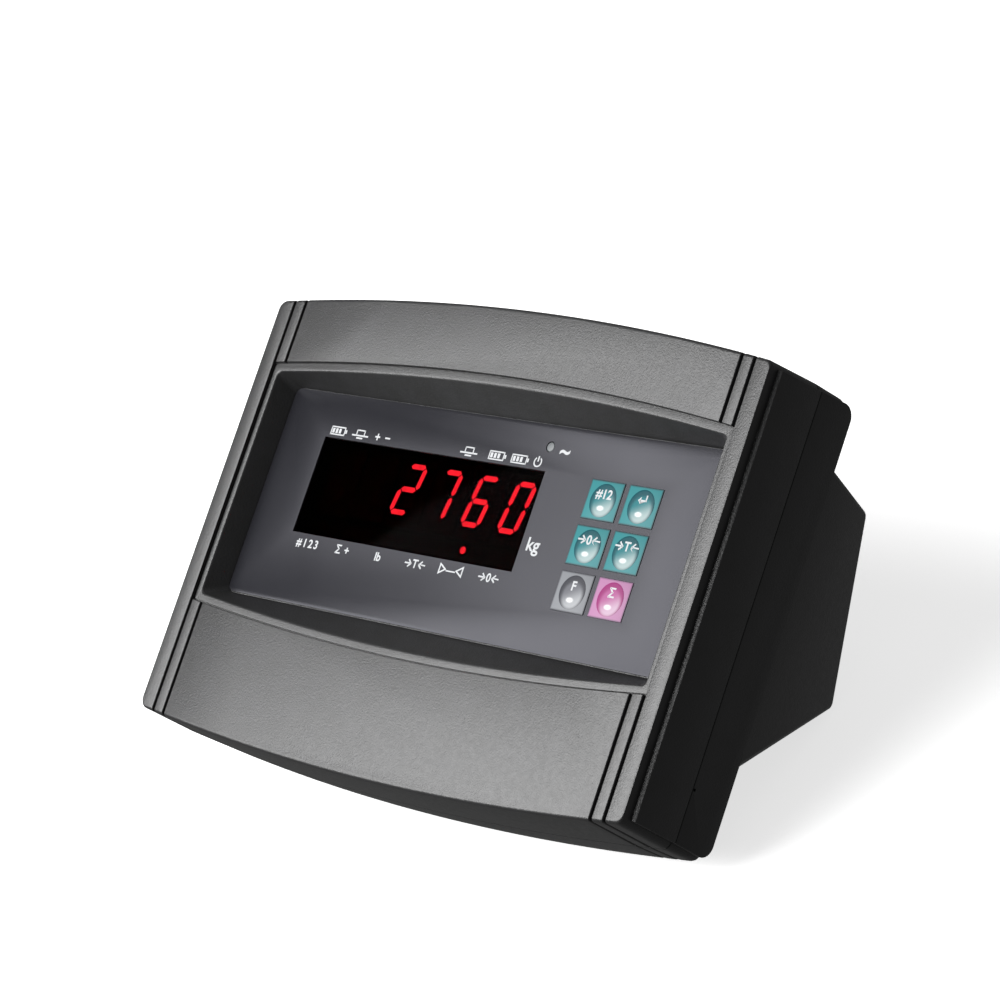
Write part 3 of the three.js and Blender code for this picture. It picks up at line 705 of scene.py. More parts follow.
def hatch_cutters():
    back, rims = -HATCH.thickness - GAP, 2 * HATCH.rim
    tray = slab(0, HATCH_MIDDLE, HATCH.width + 2 * GAP, HATCH_HEIGHT + 2 * GAP, back, 8)
    well = slab(0, HATCH_MIDDLE, HATCH.width - rims - 8, HATCH_HEIGHT - rims, -16, 8)
    pilots = [rod(side * COVER_SCREW_X, HATCH_MIDDLE, COVER_SCREW.pilot, -9, 4, 20) for side in (-1, 1)]
    return [moved(cutter, HATCH_FACE) for cutter in (tray, well, *pilots)]


def jackscrew_xs():
    return [DSUB.x + side * DSUB.pitch / 2 for side in (-1, 1)]


def rear_face_cutters():
    cutters = [over(INLET, 2 * GAP, -12, 4), over(SWITCH, 2 * GAP, -12, 4)]
    cutters.append(rod(FUSE.x, FUSE.z, FUSE.radius + GAP, -12, 4, 32))
    for _, z in DSUB_PLACES:
        cutters.append(over(Record(**vars(DSUB), z=z), 2 * GAP, -12, 4))
        cutters += [rod(x, z, DSUB.hole, -12, 4, 20) for x in jackscrew_xs()]
    return [moved(cutter, REAR_FACE) for cutter in cutters]


def rear_shell():
    seam = SEAM_DEPTH + SEAM_GAP / 2
    body = loft("rear_shell", rounded_stack([
        (block_ring(CASE_DEPTH - WALL, WALL), 0),
        (block_ring(seam, WALL), 0),
        (block_ring(seam, 0, DRAFT), 0.3),
        (block_ring(CASE_DEPTH, 0, DRAFT), REAR_RADIUS),
        (block_ring(CASE_DEPTH, 10), 0),
    ]))
    join(body, *[cheek(side, seam, CASE_DEPTH, REAR_RADIUS) for side in (1, -1)])
    join(body, rounded(bulge("bulge", 0), 2.4, segments=6, angle=20), *pedestal_solids())
    cut(body, bulge("hollow", WALL), *grooves("rear_seam", "rear"))
    bosses = [rod(x, z, CASE_SCREW.boss, seam, CASE_DEPTH - 1, 32) for x, z in SCREW_PLACES]
    rim = slab(0, HATCH_MIDDLE, HATCH.width + 6, HATCH_HEIGHT + 5, -4.7, -1)
    join(body, *bosses, moved(rim, HATCH_FACE))
    sunk, out = CASE_DEPTH - CASE_SCREW.sunk, CASE_DEPTH + 1
    holes = [rod(x, z, CASE_SCREW.bore, sunk, out, 32) for x, z in SCREW_PLACES]
    holes += [rod(x, z, CASE_SCREW.pilot, 20, out, 20) for x, z in SCREW_PLACES]
    slot = slab(0, 0, VENTS.width, VENTS.length, 40, CASE_DEPTH + 2, "slot")
    rounded(slot, 1.1, segments=4, angle=60)
    first = -VENTS.pitch * (VENTS.count - 1) / 2
    spots = [(first + VENTS.pitch * i, 0, VENTS.z) for i in range(VENTS.count)]
    holes.append(scattered("vent_slots", slot, spots))
    holes.append(seam_dot())
    cut(body, *holes, *rear_face_cutters(), *hatch_cutters())
    return smooth(clean(body))


# ---- the printed keypad, the display and the keys ----


def glyphs(text, height, x, z, bold=0.0, spacing=1.0):
    """Generic signs as a thin flat solid, their capital height given, centred at x and z."""
    curve = bpy.data.curves.new("signs", "FONT")
    curve.body = text
    curve.size = height / 0.7
    curve.align_x = "CENTER"
    curve.extrude = INK / 2
    curve.offset = bold
    curve.space_character = spacing
    curve.resolution_u = 4
    drawn = linked("signs", curve)
    mesh = plain_mesh(drawn)
    bpy.data.objects.remove(drawn)
    mesh.transform(Matrix.Translation((x, 0, z - height / 2)) @ STANDING)
    return linked("signs", mesh)


def stroke(points, width, x=0.0, z=0.0):
    """A thin flat bar along each leg of a line."""
    bars = []
    for (x0, z0), (x1, z1) in zip(points, points[1:]):
        leg = Vector((x1 - x0, z1 - z0))
        bar = slab(0, 0, leg.length + width * 0.9, width, -INK / 2, INK / 2)
        turn_by = Matrix.Rotation(-math.atan2(leg.y, leg.x), 4, "Y")
        bars.append(moved(bar, Matrix.Translation((x + (x0 + x1) / 2, 0, z + (z0 + z1) / 2)) @ turn_by))
    return bars


def merged(name, pieces):
    """Several pieces as one mesh, left as they are."""
    shape = bmesh.new()
    for piece in pieces:
        shape.from_mesh(piece.data)
    whole = piece_of(name, [], [])
    shape.to_mesh(whole.data)
    shape.free()
    for piece in pieces:
        bpy.data.objects.remove(piece)
    return whole


def segment(letter, x, z, d0, d1):
    """One light segment of a numeric display: a slanted bar with pointed ends."""
    (x0, z0), (x1, z1) = SEGMENTS[letter]
    wide, tall, half = SEGMENT.half_width, SEGMENT.half_height, SEGMENT.stroke / 2
    start, end = Vector((x0 * wide, z0 * tall)), Vector((x1 * wide, z1 * tall))
    along = (end - start).normalized()
    start, end = start + along * SEGMENT.tip, end - along * SEGMENT.tip
    side = Vector((-along.y, along.x)) * half
    tips = [
        start, start + along * half + side, end - along * half + side, end,
        end - along * half - side, start + along * half - side,
    ]
    return prism([(x + p.x + p.y * SLANT, z + p.y) for p in tips], d0, d1, "segment")


def digit_pieces(index, materials):
    """A numeric module: its black front, and its seven light segments and point, lit or dark."""
    node = f"digit_{index + 1}"
    x = WINDOW.x + (index - 2.5) * DIGIT.pitch
    front = DIGIT.front
    block = slab(x, DIGIT.z, DIGIT.width, DIGIT.height, front + 0.1, DIGIT.back, node)
    place(smooth(rounded(block, 0.3)), materials["front"], [node], "led_module")
    bars = {"lit": [], "dark": []}
    d0, d1 = front + 0.02, front + 0.6
    for letter in SEGMENTS:
        state = "lit" if letter in LIT[SHOWN[index]] else "dark"
        bars[state].append(segment(letter, x + DIGIT.figure_x, DIGIT.figure_z, d0, d1))
    bars["dark"].append(rod(x + DIGIT.point_x, DIGIT.point_z, 1.0, d0, d1, 24))
    for state, group in bars.items():
        if group:
            name = f"{node}_segments_{state}"
            place(merged(name, group), materials[state], [], "led_module")


def status_strip(materials):
    """The strip of small status lamps below the figures, one of them lit."""
    strip = slab(WINDOW.x, 0.6, 108, 6, STATUS.front, DIGIT.back, "status_lamps")
    place(smooth(rounded(strip, 0.3)), materials["front"], ["status_lamps"], "led_module")
    lit_x, z, d0, d1 = STATUS.lit_x, STATUS.z, STATUS.front - 0.08, STATUS.front + 0.5
    dark = [rod(x, z, 1.5, d0, d1, 24) for x in STATUS.xs if x != lit_x]
    place(merged("status_lamps_dark", dark), materials["dark"], [], "led_module")
    lit = rod(lit_x, z, 1.4, d0, d1, 24, "status_lamp_lit")
    place(lit, materials["lit"], [], "led_module")


def overlay_sheet():
    """The flat printed sheet, with its holes for the window, the lamp and the keys."""
    sheet = box(
        -PANEL_HALF + GAP, PANEL_DEPTH, PANEL_BOTTOM + GAP, PANEL_HALF - GAP, PANEL_DEPTH + 0.6,
        PANEL_TOP - GAP, "keypad_overlay",
    )
    reshape(sheet, lambda shape: bmesh.ops.bevel(
        shape, geom=[e for e in shape.edges if abs(e.verts[0].co.y - e.verts[1].co.y) > 0.1],
        offset=3.0, segments=6, affect="EDGES", profile=0.5,
    ))
    rounded(sheet, 0.12, segments=2)
    return smooth(clean(cut(sheet, *panel_holes(0, 0.15), *key_holes(0, 0.08))))


def battery_sign(x, z):
    outline_of = [(-4.2, -1.5), (3.2, -1.5), (3.2, 1.5), (-4.2, 1.5), (-4.2, -1.5)]
    bars = [slab(x + at, z, 1.2, 1.9, -INK / 2, INK / 2) for at in (-3.0, -1.2, 0.6)]
    return stroke(outline_of, 0.5, x, z) + bars + [slab(x + 4.0, z, 0.8, 1.4, -INK / 2, INK / 2)]


def scale_sign(x, z):
    """A platform with a load on it."""
    load = stroke([(-2.1, -0.4), (-2.1, 1.5), (2.1, 1.5), (2.1, -0.4)], 0.5, x, z)
    for half, level in ((4.2, -0.6), (1.4, -1.6)):
        load += stroke([(-half, level), (half, level)], 0.6, x, z)
    return load


def panel_print():
    """White signs on the keypad, all of them common symbols and units."""
    top, low = 37.6, -7.5
    signs = [glyphs("kg", 5.0, 36.1, 7.4, 0.12), glyphs("~", 6.0, 36.5, 43.4, 0.2)]
    signs += battery_sign(-81.3, top) + scale_sign(-69.3, top)
    signs.append(glyphs("+ \u2212", 3.6, -57.0, top, 0.1, 1.2))
    signs += scale_sign(-10.4, top) + battery_sign(4.4, top) + battery_sign(16.0, top)
    signs.append(glyphs("\u23fb", 3.4, 25.0, top, 0.06))
    for x, text, spacing in (
        (-77.5, "#123", 1.35), (-58.0, "\u03a3 +", 1.1), (-38.5, "lb", 1.0), (-18.4, "\u2192T\u2190", 1.05),
        (0.4, "\u25b7\u2014\u25c1", 1.0), (20.0, "\u21920\u2190", 1.05),
    ):
        signs.append(glyphs(text, 3.2, x, low, 0.1, spacing))
    return moved(merged("keypad_print", signs), Matrix.Translation((0, PANEL_DEPTH + INK / 2 - 0.03, 0)))


def key_pieces(name, text, slot, x, z):
    """One key: its pad with a flange and stem behind, the oval on it, and its sign."""
    front = PANEL_DEPTH - KEY.proud
    cap = slab(x, z, KEY.width, KEY.height, front, FLOOR_BACK + 0.8, f"key_{name}")
    rounded(cap, 0.18, segments=2)
    flange = slab(x, z, KEY.width + 1.5, KEY.height + 1.7, FLOOR_BACK + GAP, FLOOR_BACK + 1.5)
    join(cap, flange, rod(x, z, 2.5, FLOOR_BACK + 1, 17.4, 32))
    place(smooth(clean(cap)), PADS[slot], [f"key_{name}"], slot, f"{name}_key")
    place(smooth(button(x, z, front, f"key_{name}_button"), 50), BALLS[slot], [], slot, f"{name}_key")
    sign = glyphs(text, 3.4, x, z + 2.4, 0.12)
    sign.name = f"key_{name}_sign"
    place(moved(sign, Matrix.Translation((0, front - 0.2, 0))), WHITE_INK, [], slot, f"{name}_key")


def button(x, z, front, name):
    """The flat oval of clear gloss that marks where to press, slightly raised and soft at its rim."""
    crown = ((1.0, -0.02), (1.0, 0.05), (0.97, 0.1), (0.9, 0.15), (0.6, 0.18), (0.2, 0.19))
    wide, tall = BALL
    return loft(name, [oval(x, z, wide * part, tall * part, front - height, 64) for part, height in crown])


# ---- finishes ----


def maths(tree, operation, *values):
    return add(tree, "ShaderNodeMath", dict(enumerate(values)), operation=operation).outputs[0]


def ramp_between(tree, value, low, high):
    """A smooth step from 0 to 1 as a value runs from low to high."""
    spread = {"Value": value, 1: low, 2: high}
    return add(tree, "ShaderNodeMapRange", spread, interpolation_type="SMOOTHSTEP").outputs[0]


def blend_colours(tree, share, low, high):
    return add(tree, "ShaderNodeMix", {0: share, 6: low, 7: high}, data_type="RGBA").outputs[2]


def across_key(tree, where):
    """Millimetres right and up from the middle of whichever key a point is on."""
    first = FACE @ Vector((KEY_COLUMNS[0], PANEL_DEPTH, KEY_ROWS[0]))
    offset = add(tree, "ShaderNodeVectorMath", {0: where, 1: first / MM}, operation="SUBTRACT").outputs[0]
    right = add(tree, "ShaderNodeSeparateXYZ", {0: offset}).outputs[0]
    up = add(tree, "ShaderNodeVectorMath", {0: offset, 1: UP_FACE}, operation="DOT_PRODUCT").outputs[1]
    pitch = KEY_COLUMNS[1] - KEY_COLUMNS[0], KEY_ROWS[0] - KEY_ROWS[1]
    return [maths(tree, "WRAP", value, step / 2, -step / 2) for value, step in zip((right, up), pitch)]


def key_ink(name, colour, roughness):
    """A printed key's material, which reflects little, and the place on its key of each point."""
    at = surface(name, colour, roughness)
    at.shader.inputs["Specular IOR Level"].default_value = 0.15
    return at, *across_key(at.tree, at.where)


def key_pad(name, colour, edge):
    """Printed gloss on the back of clear film: one colour that softens into the sheet at its rim."""
    at, right, up = key_ink(name, colour, 0.42)
    near = maths(at.tree, "SUBTRACT", KEY.width / 2, maths(at.tree, "ABSOLUTE", right))
    close = maths(at.tree, "SUBTRACT", KEY.height / 2, maths(at.tree, "ABSOLUTE", up))
    share = ramp_between(at.tree, maths(at.tree, "MINIMUM", near, close), 0.0, 0.8)
    printed = blend_colours(at.tree, share, linear(edge), linear(colour))
    at.tree.links.new(printed, at.shader.inputs["Base Color"])
    return at.material


def key_ball(name, deep, middle, pale):
    """Printed gloss shaded like a ball: deep at its upper rim, pale low down, one soft white glint."""
    at, right, up = key_ink(name, middle, 0.4)
    tree = at.tree

    def reach(dx, dz, wide, tall):
        """How far out a point is on an oval round (dx, dz), 1 being its rim."""
        across = maths(tree, "POWER", maths(tree, "DIVIDE", maths(tree, "SUBTRACT", right, dx), wide), 2)
        high = maths(tree, "POWER", maths(tree, "DIVIDE", maths(tree, "SUBTRACT", up, dz), tall), 2)
        return maths(tree, "SQRT", maths(tree, "ADD", across, high))

    slope = maths(tree, "SUBTRACT", up, maths(tree, "MULTIPLY", right, 0.5))
    body = blend_colours(tree, ramp_between(tree, slope, 2.0, -5.5), linear(middle), linear(pale))
    inner = ramp_between(tree, reach(0.45, -1.2, *BALL), 0.95, 0.62)
    shaded = blend_colours(tree, inner, linear(deep), body)
    glint = ramp_between(tree, reach(0.0, -2.9, 2.3, 1.3), 1.0, 0.0)
    lit = blend_colours(tree, glint, shaded, linear("#ffffff"))
    tree.links.new(lit, at.shader.inputs["Base Color"])
    return at.material


def glowing(name, colour, strength):
    at = surface(name, "#400608", 0.4)
    at.shader.inputs["Emission Color"].default_value = linear(colour)
    uneven(at, 0.35, strength * 0.85, strength * 1.15, "Emission Strength")
    return at.material


def overlay_film():
    """Satin polycarbonate film with charcoal printed on its back: smooth, with faint smears."""
    at = surface("polycarbonate_film_satin_charcoal", "#1c1d20", 0.3)
    at.shader.inputs["Specular IOR Level"].default_value = 0.25
    at.shader.inputs["Specular Tint"].default_value = linear("#efeffb")
    tinted(at, 0.05, "#1b1b1f", "#1d1d21")
    uneven(at, 0.035, 0.29, 0.32)
    grain(at, 5.0, 0.006)
    return at.material


def smoked_pane():
    """Cast acrylic tinted a deep red-black, bloomed against glare: only the lit segments show through."""
    at = surface("cast_acrylic_smoked_red", "#520a0d", 0.04, IOR=1.03)
    at.shader.inputs["Transmission Weight"].default_value = 1.0
    uneven(at, 0.05, 0.03, 0.06)
    return at.material


def metal(name, colour, shade, roughness):
    """Plated or varnished metal: two close tones, and a shine that is a little cloudy."""
    at = surface(name, colour, roughness, Metallic=1.0)
    tinted(at, 0.3, colour, shade)
    uneven(at, 0.9, roughness - 0.06, roughness + 0.08)
    return at.material


# Spark-eroded charcoal ABS gives the case its even, fine-grained satin.
HOUSING = charcoal_abs()
# Grey zinc primer: the even, matt grey of a part that another finish or piece will cover.
PRIMER = plain_finish("zinc_primer_sprayed", "#55585c", 0.5, "#4c4f53", 0.2)
# Satin film gives the keypad its soft, faintly blue sheen.
FILM = overlay_film()
# Smoked acrylic gives a black window that only the lit segments show through.
PANE = smoked_pane()
# White screen ink: a flat, slightly uneven white for the signs.
WHITE_INK = plain_finish("screen_ink_white", "#b4b6b8", 0.5, "#aeb0b2", 0.3)
# Diodes behind a diffuser: bright and pale, so that the smoked pane leaves a clear, even red of them.
LIT_RED = glowing("led_diffuser_lit_red", "#ffb0cc", 11.5)
# The same diffuser unlit: a deep maroon that nearly vanishes behind the smoked pane.
DARK_RED = plain_finish("led_diffuser_unlit_maroon", "#1c0608", 0.45, "#210709", 0.3)
# Black epoxy front of the numeric modules: no reflection to speak of.
MODULE_BLACK = plain_finish("epoxy_cast_black", "#050505", 0.6, "#070707", 0.3)
# Milky lens of the mains lamp, unlit: a mid-grey dot with a soft shine.
LAMP_LENS = plain_finish("polycarbonate_milky_unlit", "#5c6062", 0.4, "#565a5c", 0.4)
# Glass-filled nylon for sockets, switch and fuse holder: black and a little coarser than the case.
NYLON = plain_finish("nylon_glass_filled_black", "#141516", 0.5, "#191a1b", 0.4)
# Glossy polycarbonate of the rocker: a warm red with a clear highlight.
ROCKER_RED = plain_finish("polycarbonate_gloss_red", "#9a1616", 0.22, "#8e1313", 0.2)
# Bright zinc plating on the screws: cool, a little cloudy.
ZINC = metal("steel_zinc_plated_screw", "#b6babf", "#a4a9b0", 0.32)
# Tin plating on pressed socket shells: duller and warmer than zinc.
TIN = metal("steel_tin_plated_shell", "#b9b6b0", "#a9a69f", 0.38)
# Gold flash on the socket contacts.
GOLD = metal("brass_gold_flashed_contact", "#d8b25a", "#c9a24c", 0.3)
# Black rubber of the feet: matt, a little dusty.
RUBBER = plain_finish("rubber_moulded_matt_black", "#191919", 0.88, "#222222", 0.3)
# Green solder resist over copper: a glassy green.
RESIST = plain_finish("solder_resist_gloss_green", "#1a5233", 0.3, "#1f5e3b", 0.15)
# Grey ribbon insulation, extruded: a flat, even grey.
RIBBON = plain_finish("pvc_ribbon_extruded_grey", "#8f9296", 0.5, "#85888c", 0.5)
# Stacked transformer laminations under varnish: a dark metal with a broad, dull shine.
LAMINATION = metal("silicon_steel_varnished_lamination", "#54585c", "#484c50", 0.45)
# Amber winding tape over the coils: a warm, slightly glossy yellow.
WINDING = plain_finish("polyester_tape_wound_amber", "#b98f2e", 0.35, "#a98227", 0.2)
# Battery case: plain dark grey ABS with a satin skin.
BATTERY = plain_finish("abs_welded_battery_grey", "#2b2e32", 0.45, "#313438", 0.1)
# Gloss ink behind clear film, one colour to each kind of key: flat pads, and ovals shaded like balls.
PADS = {
    "key_teal": key_pad("screen_gloss_teal", "#34787c", "#35474b"),
    "key_grey": key_pad("screen_gloss_grey", "#7a7c80", "#4a4b50"),
    "key_pink": key_pad("screen_gloss_pink", "#a37496", "#6b566a"),
}
BALLS = {
    "key_teal": key_ball("screen_gloss_teal_ball", "#00444c", "#12666c", "#95a5a5"),
    "key_grey": key_ball("screen_gloss_grey_ball", "#34353b", "#5c5d63", "#989a9d"),
    "key_pink": key_ball("screen_gloss_pink_ball", "#852a64", "#9a5080", "#b39aac"),
}

# ---- the inner nodes keep the solid model's own shape ----

CARRIED = {
    "display_board": RESIST, "main_board": RESIST, "adc_shield": TIN, "buzzer": NYLON,
    "ribbon_cable": RIBBON, "transformer_core": LAMINATION, "transformer_winding": WINDING,
    "battery": BATTERY,
}
CARRIED.update({f"{kind}_{key[0]}": NYLON for kind in ("switch", "plunger") for key in KEYS})
for name, node in frame["nodes"].items():
    node.data.materials.clear()
    node.data.materials.append(CARRIED.get(name, PRIMER))

# ---- the pieces in place ----

place(front_shell(), HOUSING, ["front_housing"], "housing")
place(rear_shell(), HOUSING, ["rear_housing"], "housing")
place(overlay_sheet(), FILM, ["keypad_overlay"], "overlay")
place(panel_print(), WHITE_INK, [], "overlay")

pane = rounded(over(WINDOW, -2 * GAP, PANEL_DEPTH + 0.3, FLOOR_BACK + 1.2, "display_window"), 0.2)
join(pane, over(WINDOW, 4, FLOOR_BACK + GAP, FLOOR_BACK + 1.6))
place(smooth(clean(pane)), PANE, ["display_window"], "window")

lights = {"front": MODULE_BLACK, "lit": LIT_RED, "dark": DARK_RED}
for index in range(6):
    digit_pieces(index, lights)
status_strip(lights)

lens = rod(LAMP.x, LAMP.z, LAMP.radius, PANEL_DEPTH + 0.02, DIGIT.back, 40, "ac_lamp")
rounded(lens, 0.5, segments=4)
place(smooth(lens, 50), LAMP_LENS, ["ac_lamp"], "lamp")

for key, spot in zip(KEYS, key_places()):
    key_pieces(*key, *spot)

# ---- pieces let into the back ----


def soft_outline(x, z, width, height, radius):
    """A rectangle with round corners."""
    points = []
    for quarter, (sx, sz) in enumerate(((1, 1), (-1, 1), (-1, -1), (1, -1))):
        middle = x + sx * (width / 2 - radius), z + sz * (height / 2 - radius)
        points += corner_arc(*middle, radius, quarter)
    return points


def at_back(piece, material, nodes=(), slot=None, body="case"):
    place(smooth(moved(piece, REAR_FACE), 35), material, nodes, slot, body)


def inlet_mouth(x, z, grow):
    """The inlet's six-sided mouth: two of its corners are cut off, so that the plug fits one way up."""
    w, h, c = 12.1 + grow, 8.3 + grow, 4.2
    corners = ((-w, -h), (w, -h), (w, h - c), (w - c, h), (c - w, h), (-w, h - c))
    return [(x + dx, z + dz) for dx, dz in corners]


def mains_inlet():
    x, z = INLET.x, INLET.z
    flange = prism(soft_outline(x, z, *INLET.flange, 3.0), GAP, 2.6, "mains_inlet")
    rounded(flange, 0.4, angle=60)
    join(flange, over(INLET, 0, -16.5, 1))
    collar = rounded(prism(inlet_mouth(x, z, 1.1), 1.0, 3.1), 0.3, angle=50)
    join(flange, collar)
    cut(flange, prism(inlet_mouth(x, z, 0), -15, 4))
    at_back(clean(flange), NYLON, ["mains_inlet"], "black_plastic")
    blade = rounded(slab(0, 0, 2, 4, -15.5, -5, "blade"), 0.5, segments=2)
    spots = [(x - 7, 0, z - 1.5), (x, 0, z + 2.5), (x + 7, 0, z - 1.5)]
    at_back(scattered("mains_inlet_pins", blade, spots), TIN)


def power_switch():
    x, z = SWITCH.x, SWITCH.z
    frame_of = prism(soft_outline(x, z, *SWITCH.flange, 1.6), GAP, 2.0, "power_switch_body")
    rounded(frame_of, 0.35, angle=60)
    join(frame_of, over(SWITCH, 0, -14, 1))
    cut(frame_of, slab(x, z, 10.4, 17, -11, 4))
    at_back(clean(frame_of), NYLON, ["power_switch_body"], "black_plastic")
    half, wide = 7.7, 9.8
    crown = [(-half, 3.6), (-half * 0.5, 2.75), (0, 2.2), (half * 0.5, 2.75), (half, 3.6)]
    belly = [(half * math.cos(a), -0.6 - 5.4 * math.sin(a)) for a in [math.pi * i / 16 for i in range(17)]]
    side = [(y, tall) for tall, y in crown + belly]
    rings = [[Vector((dx, y, tall)) for y, tall in side] for dx in (-wide / 2, wide / 2)]
    rocker = rounded(loft("power_rocker", rings), 0.3, angle=50)
    tip = Matrix.Translation((x, -1.2, z)) @ Matrix.Rotation(math.radians(-10), 4, "X")
    at_back(moved(rocker, tip), ROCKER_RED, ["power_rocker"], "rocker_red", "rocker")
    marks = [slab(0, 4.2, 0.6, 2.6, 2.9, 3.1)]
    ring_mark = rod(0, -4.2, 1.4, 2.9, 3.1, 32)
    marks.append(cut(ring_mark, rod(0, -4.2, 0.85, 2, 4, 32)))
    signs = moved(merged("power_rocker_signs", marks), tip)
    at_back(signs, WHITE_INK, [], "rocker_red", "rocker")


def fuse_holder():
    x, z = FUSE.x, FUSE.z
    knurl = []
    for i, a in enumerate(turns(96)):
        radius = FUSE.cap - (0.25 if i % 4 < 2 else 0)
        knurl.append((x + radius * math.cos(a), z + radius * math.sin(a)))
    cap = prism(knurl, 1.2, 4.6, "fuse_holder")
    join(cap, rod(x, z, FUSE.cap, GAP, 1.3, 64), rounded(rod(x, z, 6.4, 4.0, 5.0, 64), 0.4))
    join(cap, rod(x, z, FUSE.radius, -14, 1, 48))
    cut(cap, rounded(slab(x, z, 9, 1.4, 3.8, 6), 0.2))
    at_back(clean(cap), NYLON, ["fuse_holder"], "black_plastic")


def d_outline(x, z, grow):
    """The D shape of a socket: wider at the top than at the bottom, with round corners."""
    wide, narrow, tall = 8.2 + grow, 7.0 + grow, 4.1 + grow
    corners = [Vector(p) for p in ((-narrow, -tall), (narrow, -tall), (wide, tall), (-wide, tall))]
    points = []
    for i, corner in enumerate(corners):
        points += eased(corners[i - 1], corner, corners[(i + 1) % 4], 2.0)
    return [(x + p.x, z + p.y) for p in points]


def data_socket(name, z):
    x, (wide, tall) = DSUB.x, DSUB.flange
    plate = rounded(prism(soft_outline(x, z, wide, tall, 1.2), GAP, 1.1, name), 0.2, angle=60)
    shell = prism(d_outline(x, z, 0), -9, 6)
    join(plate, cut(shell, prism(d_outline(x, z, -0.5), 1.4, 7)))
    cut(plate, *[rod(at, z, DSUB.hole, -12, 4, 32) for at in jackscrew_xs()])
    at_back(clean(plate), TIN, [name], "socket_shell")
    at_back(rounded(prism(d_outline(x, z, -0.8), 1.2, 5.2, f"{name}_insert"), 0.15), NYLON)
    spots = [(x + (i - 2) * 2.77, 0, z + 1.42) for i in range(5)]
    spots += [(x + (i - 1.5) * 2.77, 0, z - 1.42) for i in range(4)]
    eye = cut(rod(0, 0, 0.75, 4.9, 5.35, 24, "eye"), rod(0, 0, 0.45, 4.95, 6, 24))
    at_back(scattered(f"{name}_contacts", eye, spots), GOLD)
    for at, hand in zip(jackscrew_xs(), ("left", "right")):
        node = f"{name}_jackscrew_{hand}"
        post = rounded(rod(at, z, 2.7, 1.4, 6, 6, node), 0.25)
        join(post, rod(at, z, 1.5, -6, 2, 24))
        cut(post, rod(at, z, 1.25, 3, 7, 24))
        at_back(clean(post), ZINC, [node], "plated_steel")


def screw(kind, rise, name):
    """A pan-head screw with a cross recess, along y, its head at the outer end."""
    radius, length, head = kind.radius, kind.length, kind.head
    steps = [(radius * 0.7, 0), (radius, radius * 0.4), (radius, length), (head, length)]
    for i in range(7):
        a = math.radians(85) * i / 6
        steps.append((head * math.cos(a), length + rise * (0.35 + 0.65 * math.sin(a))))
    top, long, narrow = length + rise, head * 1.1, 0.7
    cross = [slab(0, 0, wide, tall, top - 1.1, top + 1) for wide, tall in ((long, narrow), (narrow, long))]
    return clean(cut(lathe(name, steps, 32), *cross))


def battery_cover():
    """The cover of the battery well, its grip ribs, and the two screws that hold it."""
    edge = soft_outline(0, HATCH_MIDDLE, HATCH.width, HATCH_HEIGHT, 1.0)
    plate = rounded(prism(edge, -HATCH.thickness, 0, "battery_cover"), 0.3, angle=60)
    for side in (-1, 1):
        cut(plate, rod(side * COVER_SCREW_X, HATCH_MIDDLE, COVER_SCREW.pilot, -9, 4, 32))
    place(smooth(moved(clean(plate), HATCH_FACE)), HOUSING, ["battery_cover"], "housing")
    rib = rounded(slab(0, 0, 46, 1.2, -0.3, 0.5, "rib"), 0.3)
    ribs = scattered("battery_cover_ribs", rib, [(0, 0, HATCH_MIDDLE + 14 + 2.6 * i) for i in range(4)])
    place(smooth(moved(ribs, HATCH_FACE)), HOUSING, [], "housing")
    for side, hand in ((-1, "left"), (1, "right")):
        node = f"battery_cover_screw_{hand}"
        seat = Matrix.Translation((side * COVER_SCREW_X, GAP - COVER_SCREW.length, HATCH_MIDDLE))
        fixing = moved(moved(screw(COVER_SCREW, 1.8, node), seat), HATCH_FACE)
        place(smooth(fixing), ZINC, [node], "plated_steel")


def feet():
    """Four moulded rubber feet, each with a hollow in its sole, upright under the leaning case."""
    radius, top = FOOT.radius, FOOT.height
    steps = [(radius - 0.8, 0), (radius - 0.6, 0.05), (radius - 0.2, 0.35), (radius, 0.9)]
    foot = lathe("foot", [*steps, (radius, top - 0.1), (radius - 0.1, top)], 48)
    moved(cut(foot, lathe("hollow", [(3.4, -0.5), (3.0, 0.8)], 48)), STANDING)
    spots = []
    for spot in FEET:
        x, y, z = UPRIGHT.inverted() @ Vector(spot)
        spots.append((x, y, -TABLE_DROP))
    made = moved(scattered("rubber_feet", foot, spots), UPRIGHT)
    place(smooth(made), RUBBER, [f"rubber_foot_{i}" for i in range(1, 5)], "rubber")


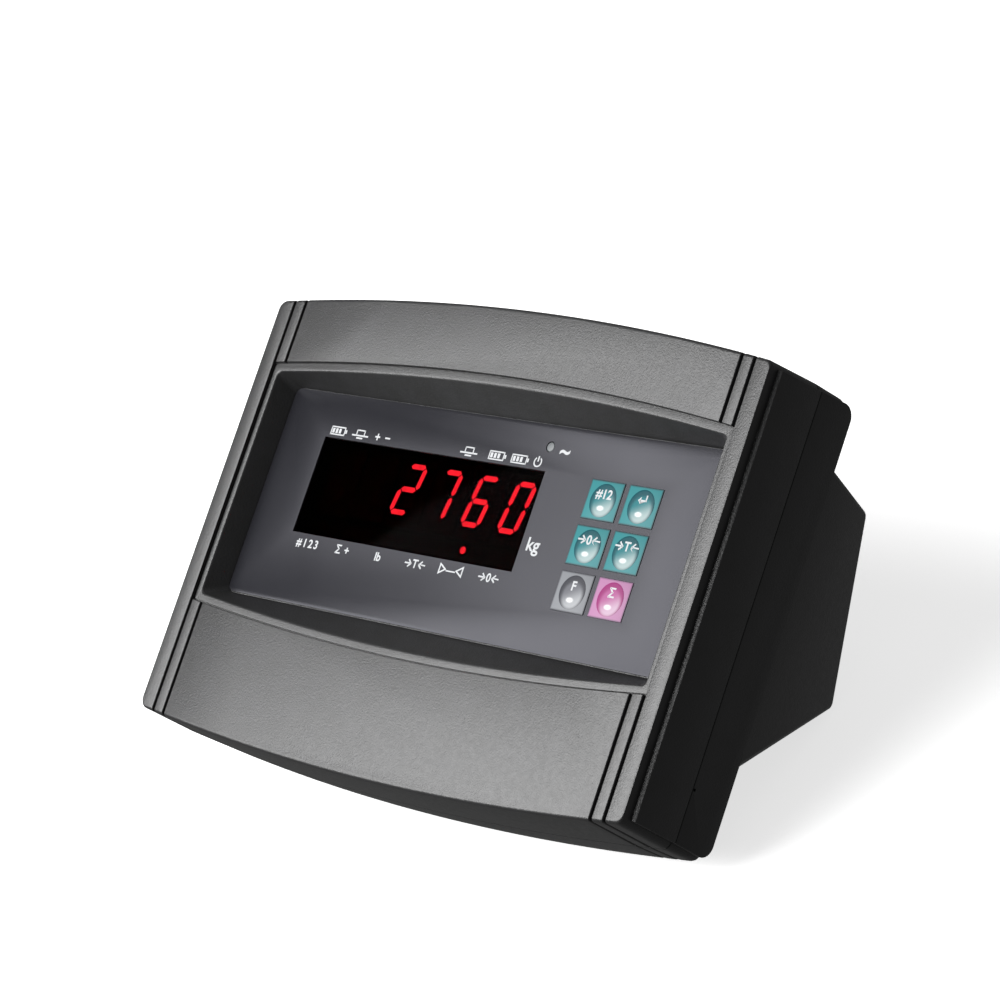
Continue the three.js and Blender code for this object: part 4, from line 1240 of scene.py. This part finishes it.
mains_inlet()
power_switch()
fuse_holder()
for name, z in DSUB_PLACES:
    data_socket(name, z)
battery_cover()
tip_depth = CASE_DEPTH - CASE_SCREW.sunk + GAP - CASE_SCREW.length
spots = [(x, tip_depth, z) for x, z in SCREW_PLACES]
case_screws = scattered("case_screws", screw(CASE_SCREW, 2.2, "case_screw"), spots)
place(smooth(case_screws), ZINC, [f"case_screw_{i}" for i in range(1, 5)], "plated_steel")
feet()

# ---- camera, floor and light ----


def look(location, right, up, lens):
    """A camera at a place, given the directions of its right and its top, and its focal length."""
    camera = linked("camera", bpy.data.cameras.new("camera"))
    right, up = Vector(right), Vector(up)
    back = right.cross(up)
    turned = Matrix((right, up, back)).transposed().to_4x4()
    camera.matrix_world = Matrix.Translation(location) @ turned
    camera.data.lens = lens
    camera.data.sensor_width = 36
    bpy.context.scene.camera = camera


def softbox(name, location, target, width, height, power):
    data = bpy.data.lights.new(name, "AREA")
    data.shape = "RECTANGLE"
    data.size = width
    data.size_y = height
    data.energy = power
    lamp = linked(name, data)
    lamp.location = location
    lamp.rotation_euler = (Vector(target) - Vector(location)).to_track_quat("-Z", "Y").to_euler()


def pale_floor():
    """A pale sheet that glows evenly, and throws no light or reflection of its own on the case."""
    at = surface("opal_acrylic_sheet_lit_from_below", "#e6e6e6", 0.9)
    tinted(at, 0.01, "#e4e4e4", "#e8e8e8")
    floor = piece_of("floor", [(-4, -4, 0), (4, -4, 0), (4, 4, 0), (-4, 4, 0)], [(0, 1, 2, 3)])
    at.shader.inputs["Emission Color"].default_value = linear("#ffffff")
    at.shader.inputs["Emission Strength"].default_value = 0.7
    floor.data.materials.append(at.material)
    floor.visible_diffuse = False
    floor.visible_glossy = False


look((0.95680, -0.72077, 0.72464), (0.70379, 0.63240, -0.32365), (-0.11843, 0.55366, 0.82428), 133.94)
pale_floor()
softbox("key_softbox", (-0.66, -0.90, 1.03), (0, 0, 0.07), 1.24, 1.4, 51)

world = bpy.data.worlds.new("studio")
world.use_nodes = True
world.node_tree.nodes["Background"].inputs["Color"].default_value = linear("#ffffff")
world.node_tree.nodes["Background"].inputs["Strength"].default_value = 0.15
bpy.context.scene.world = world
bpy.context.scene.view_settings.view_transform = "Standard"
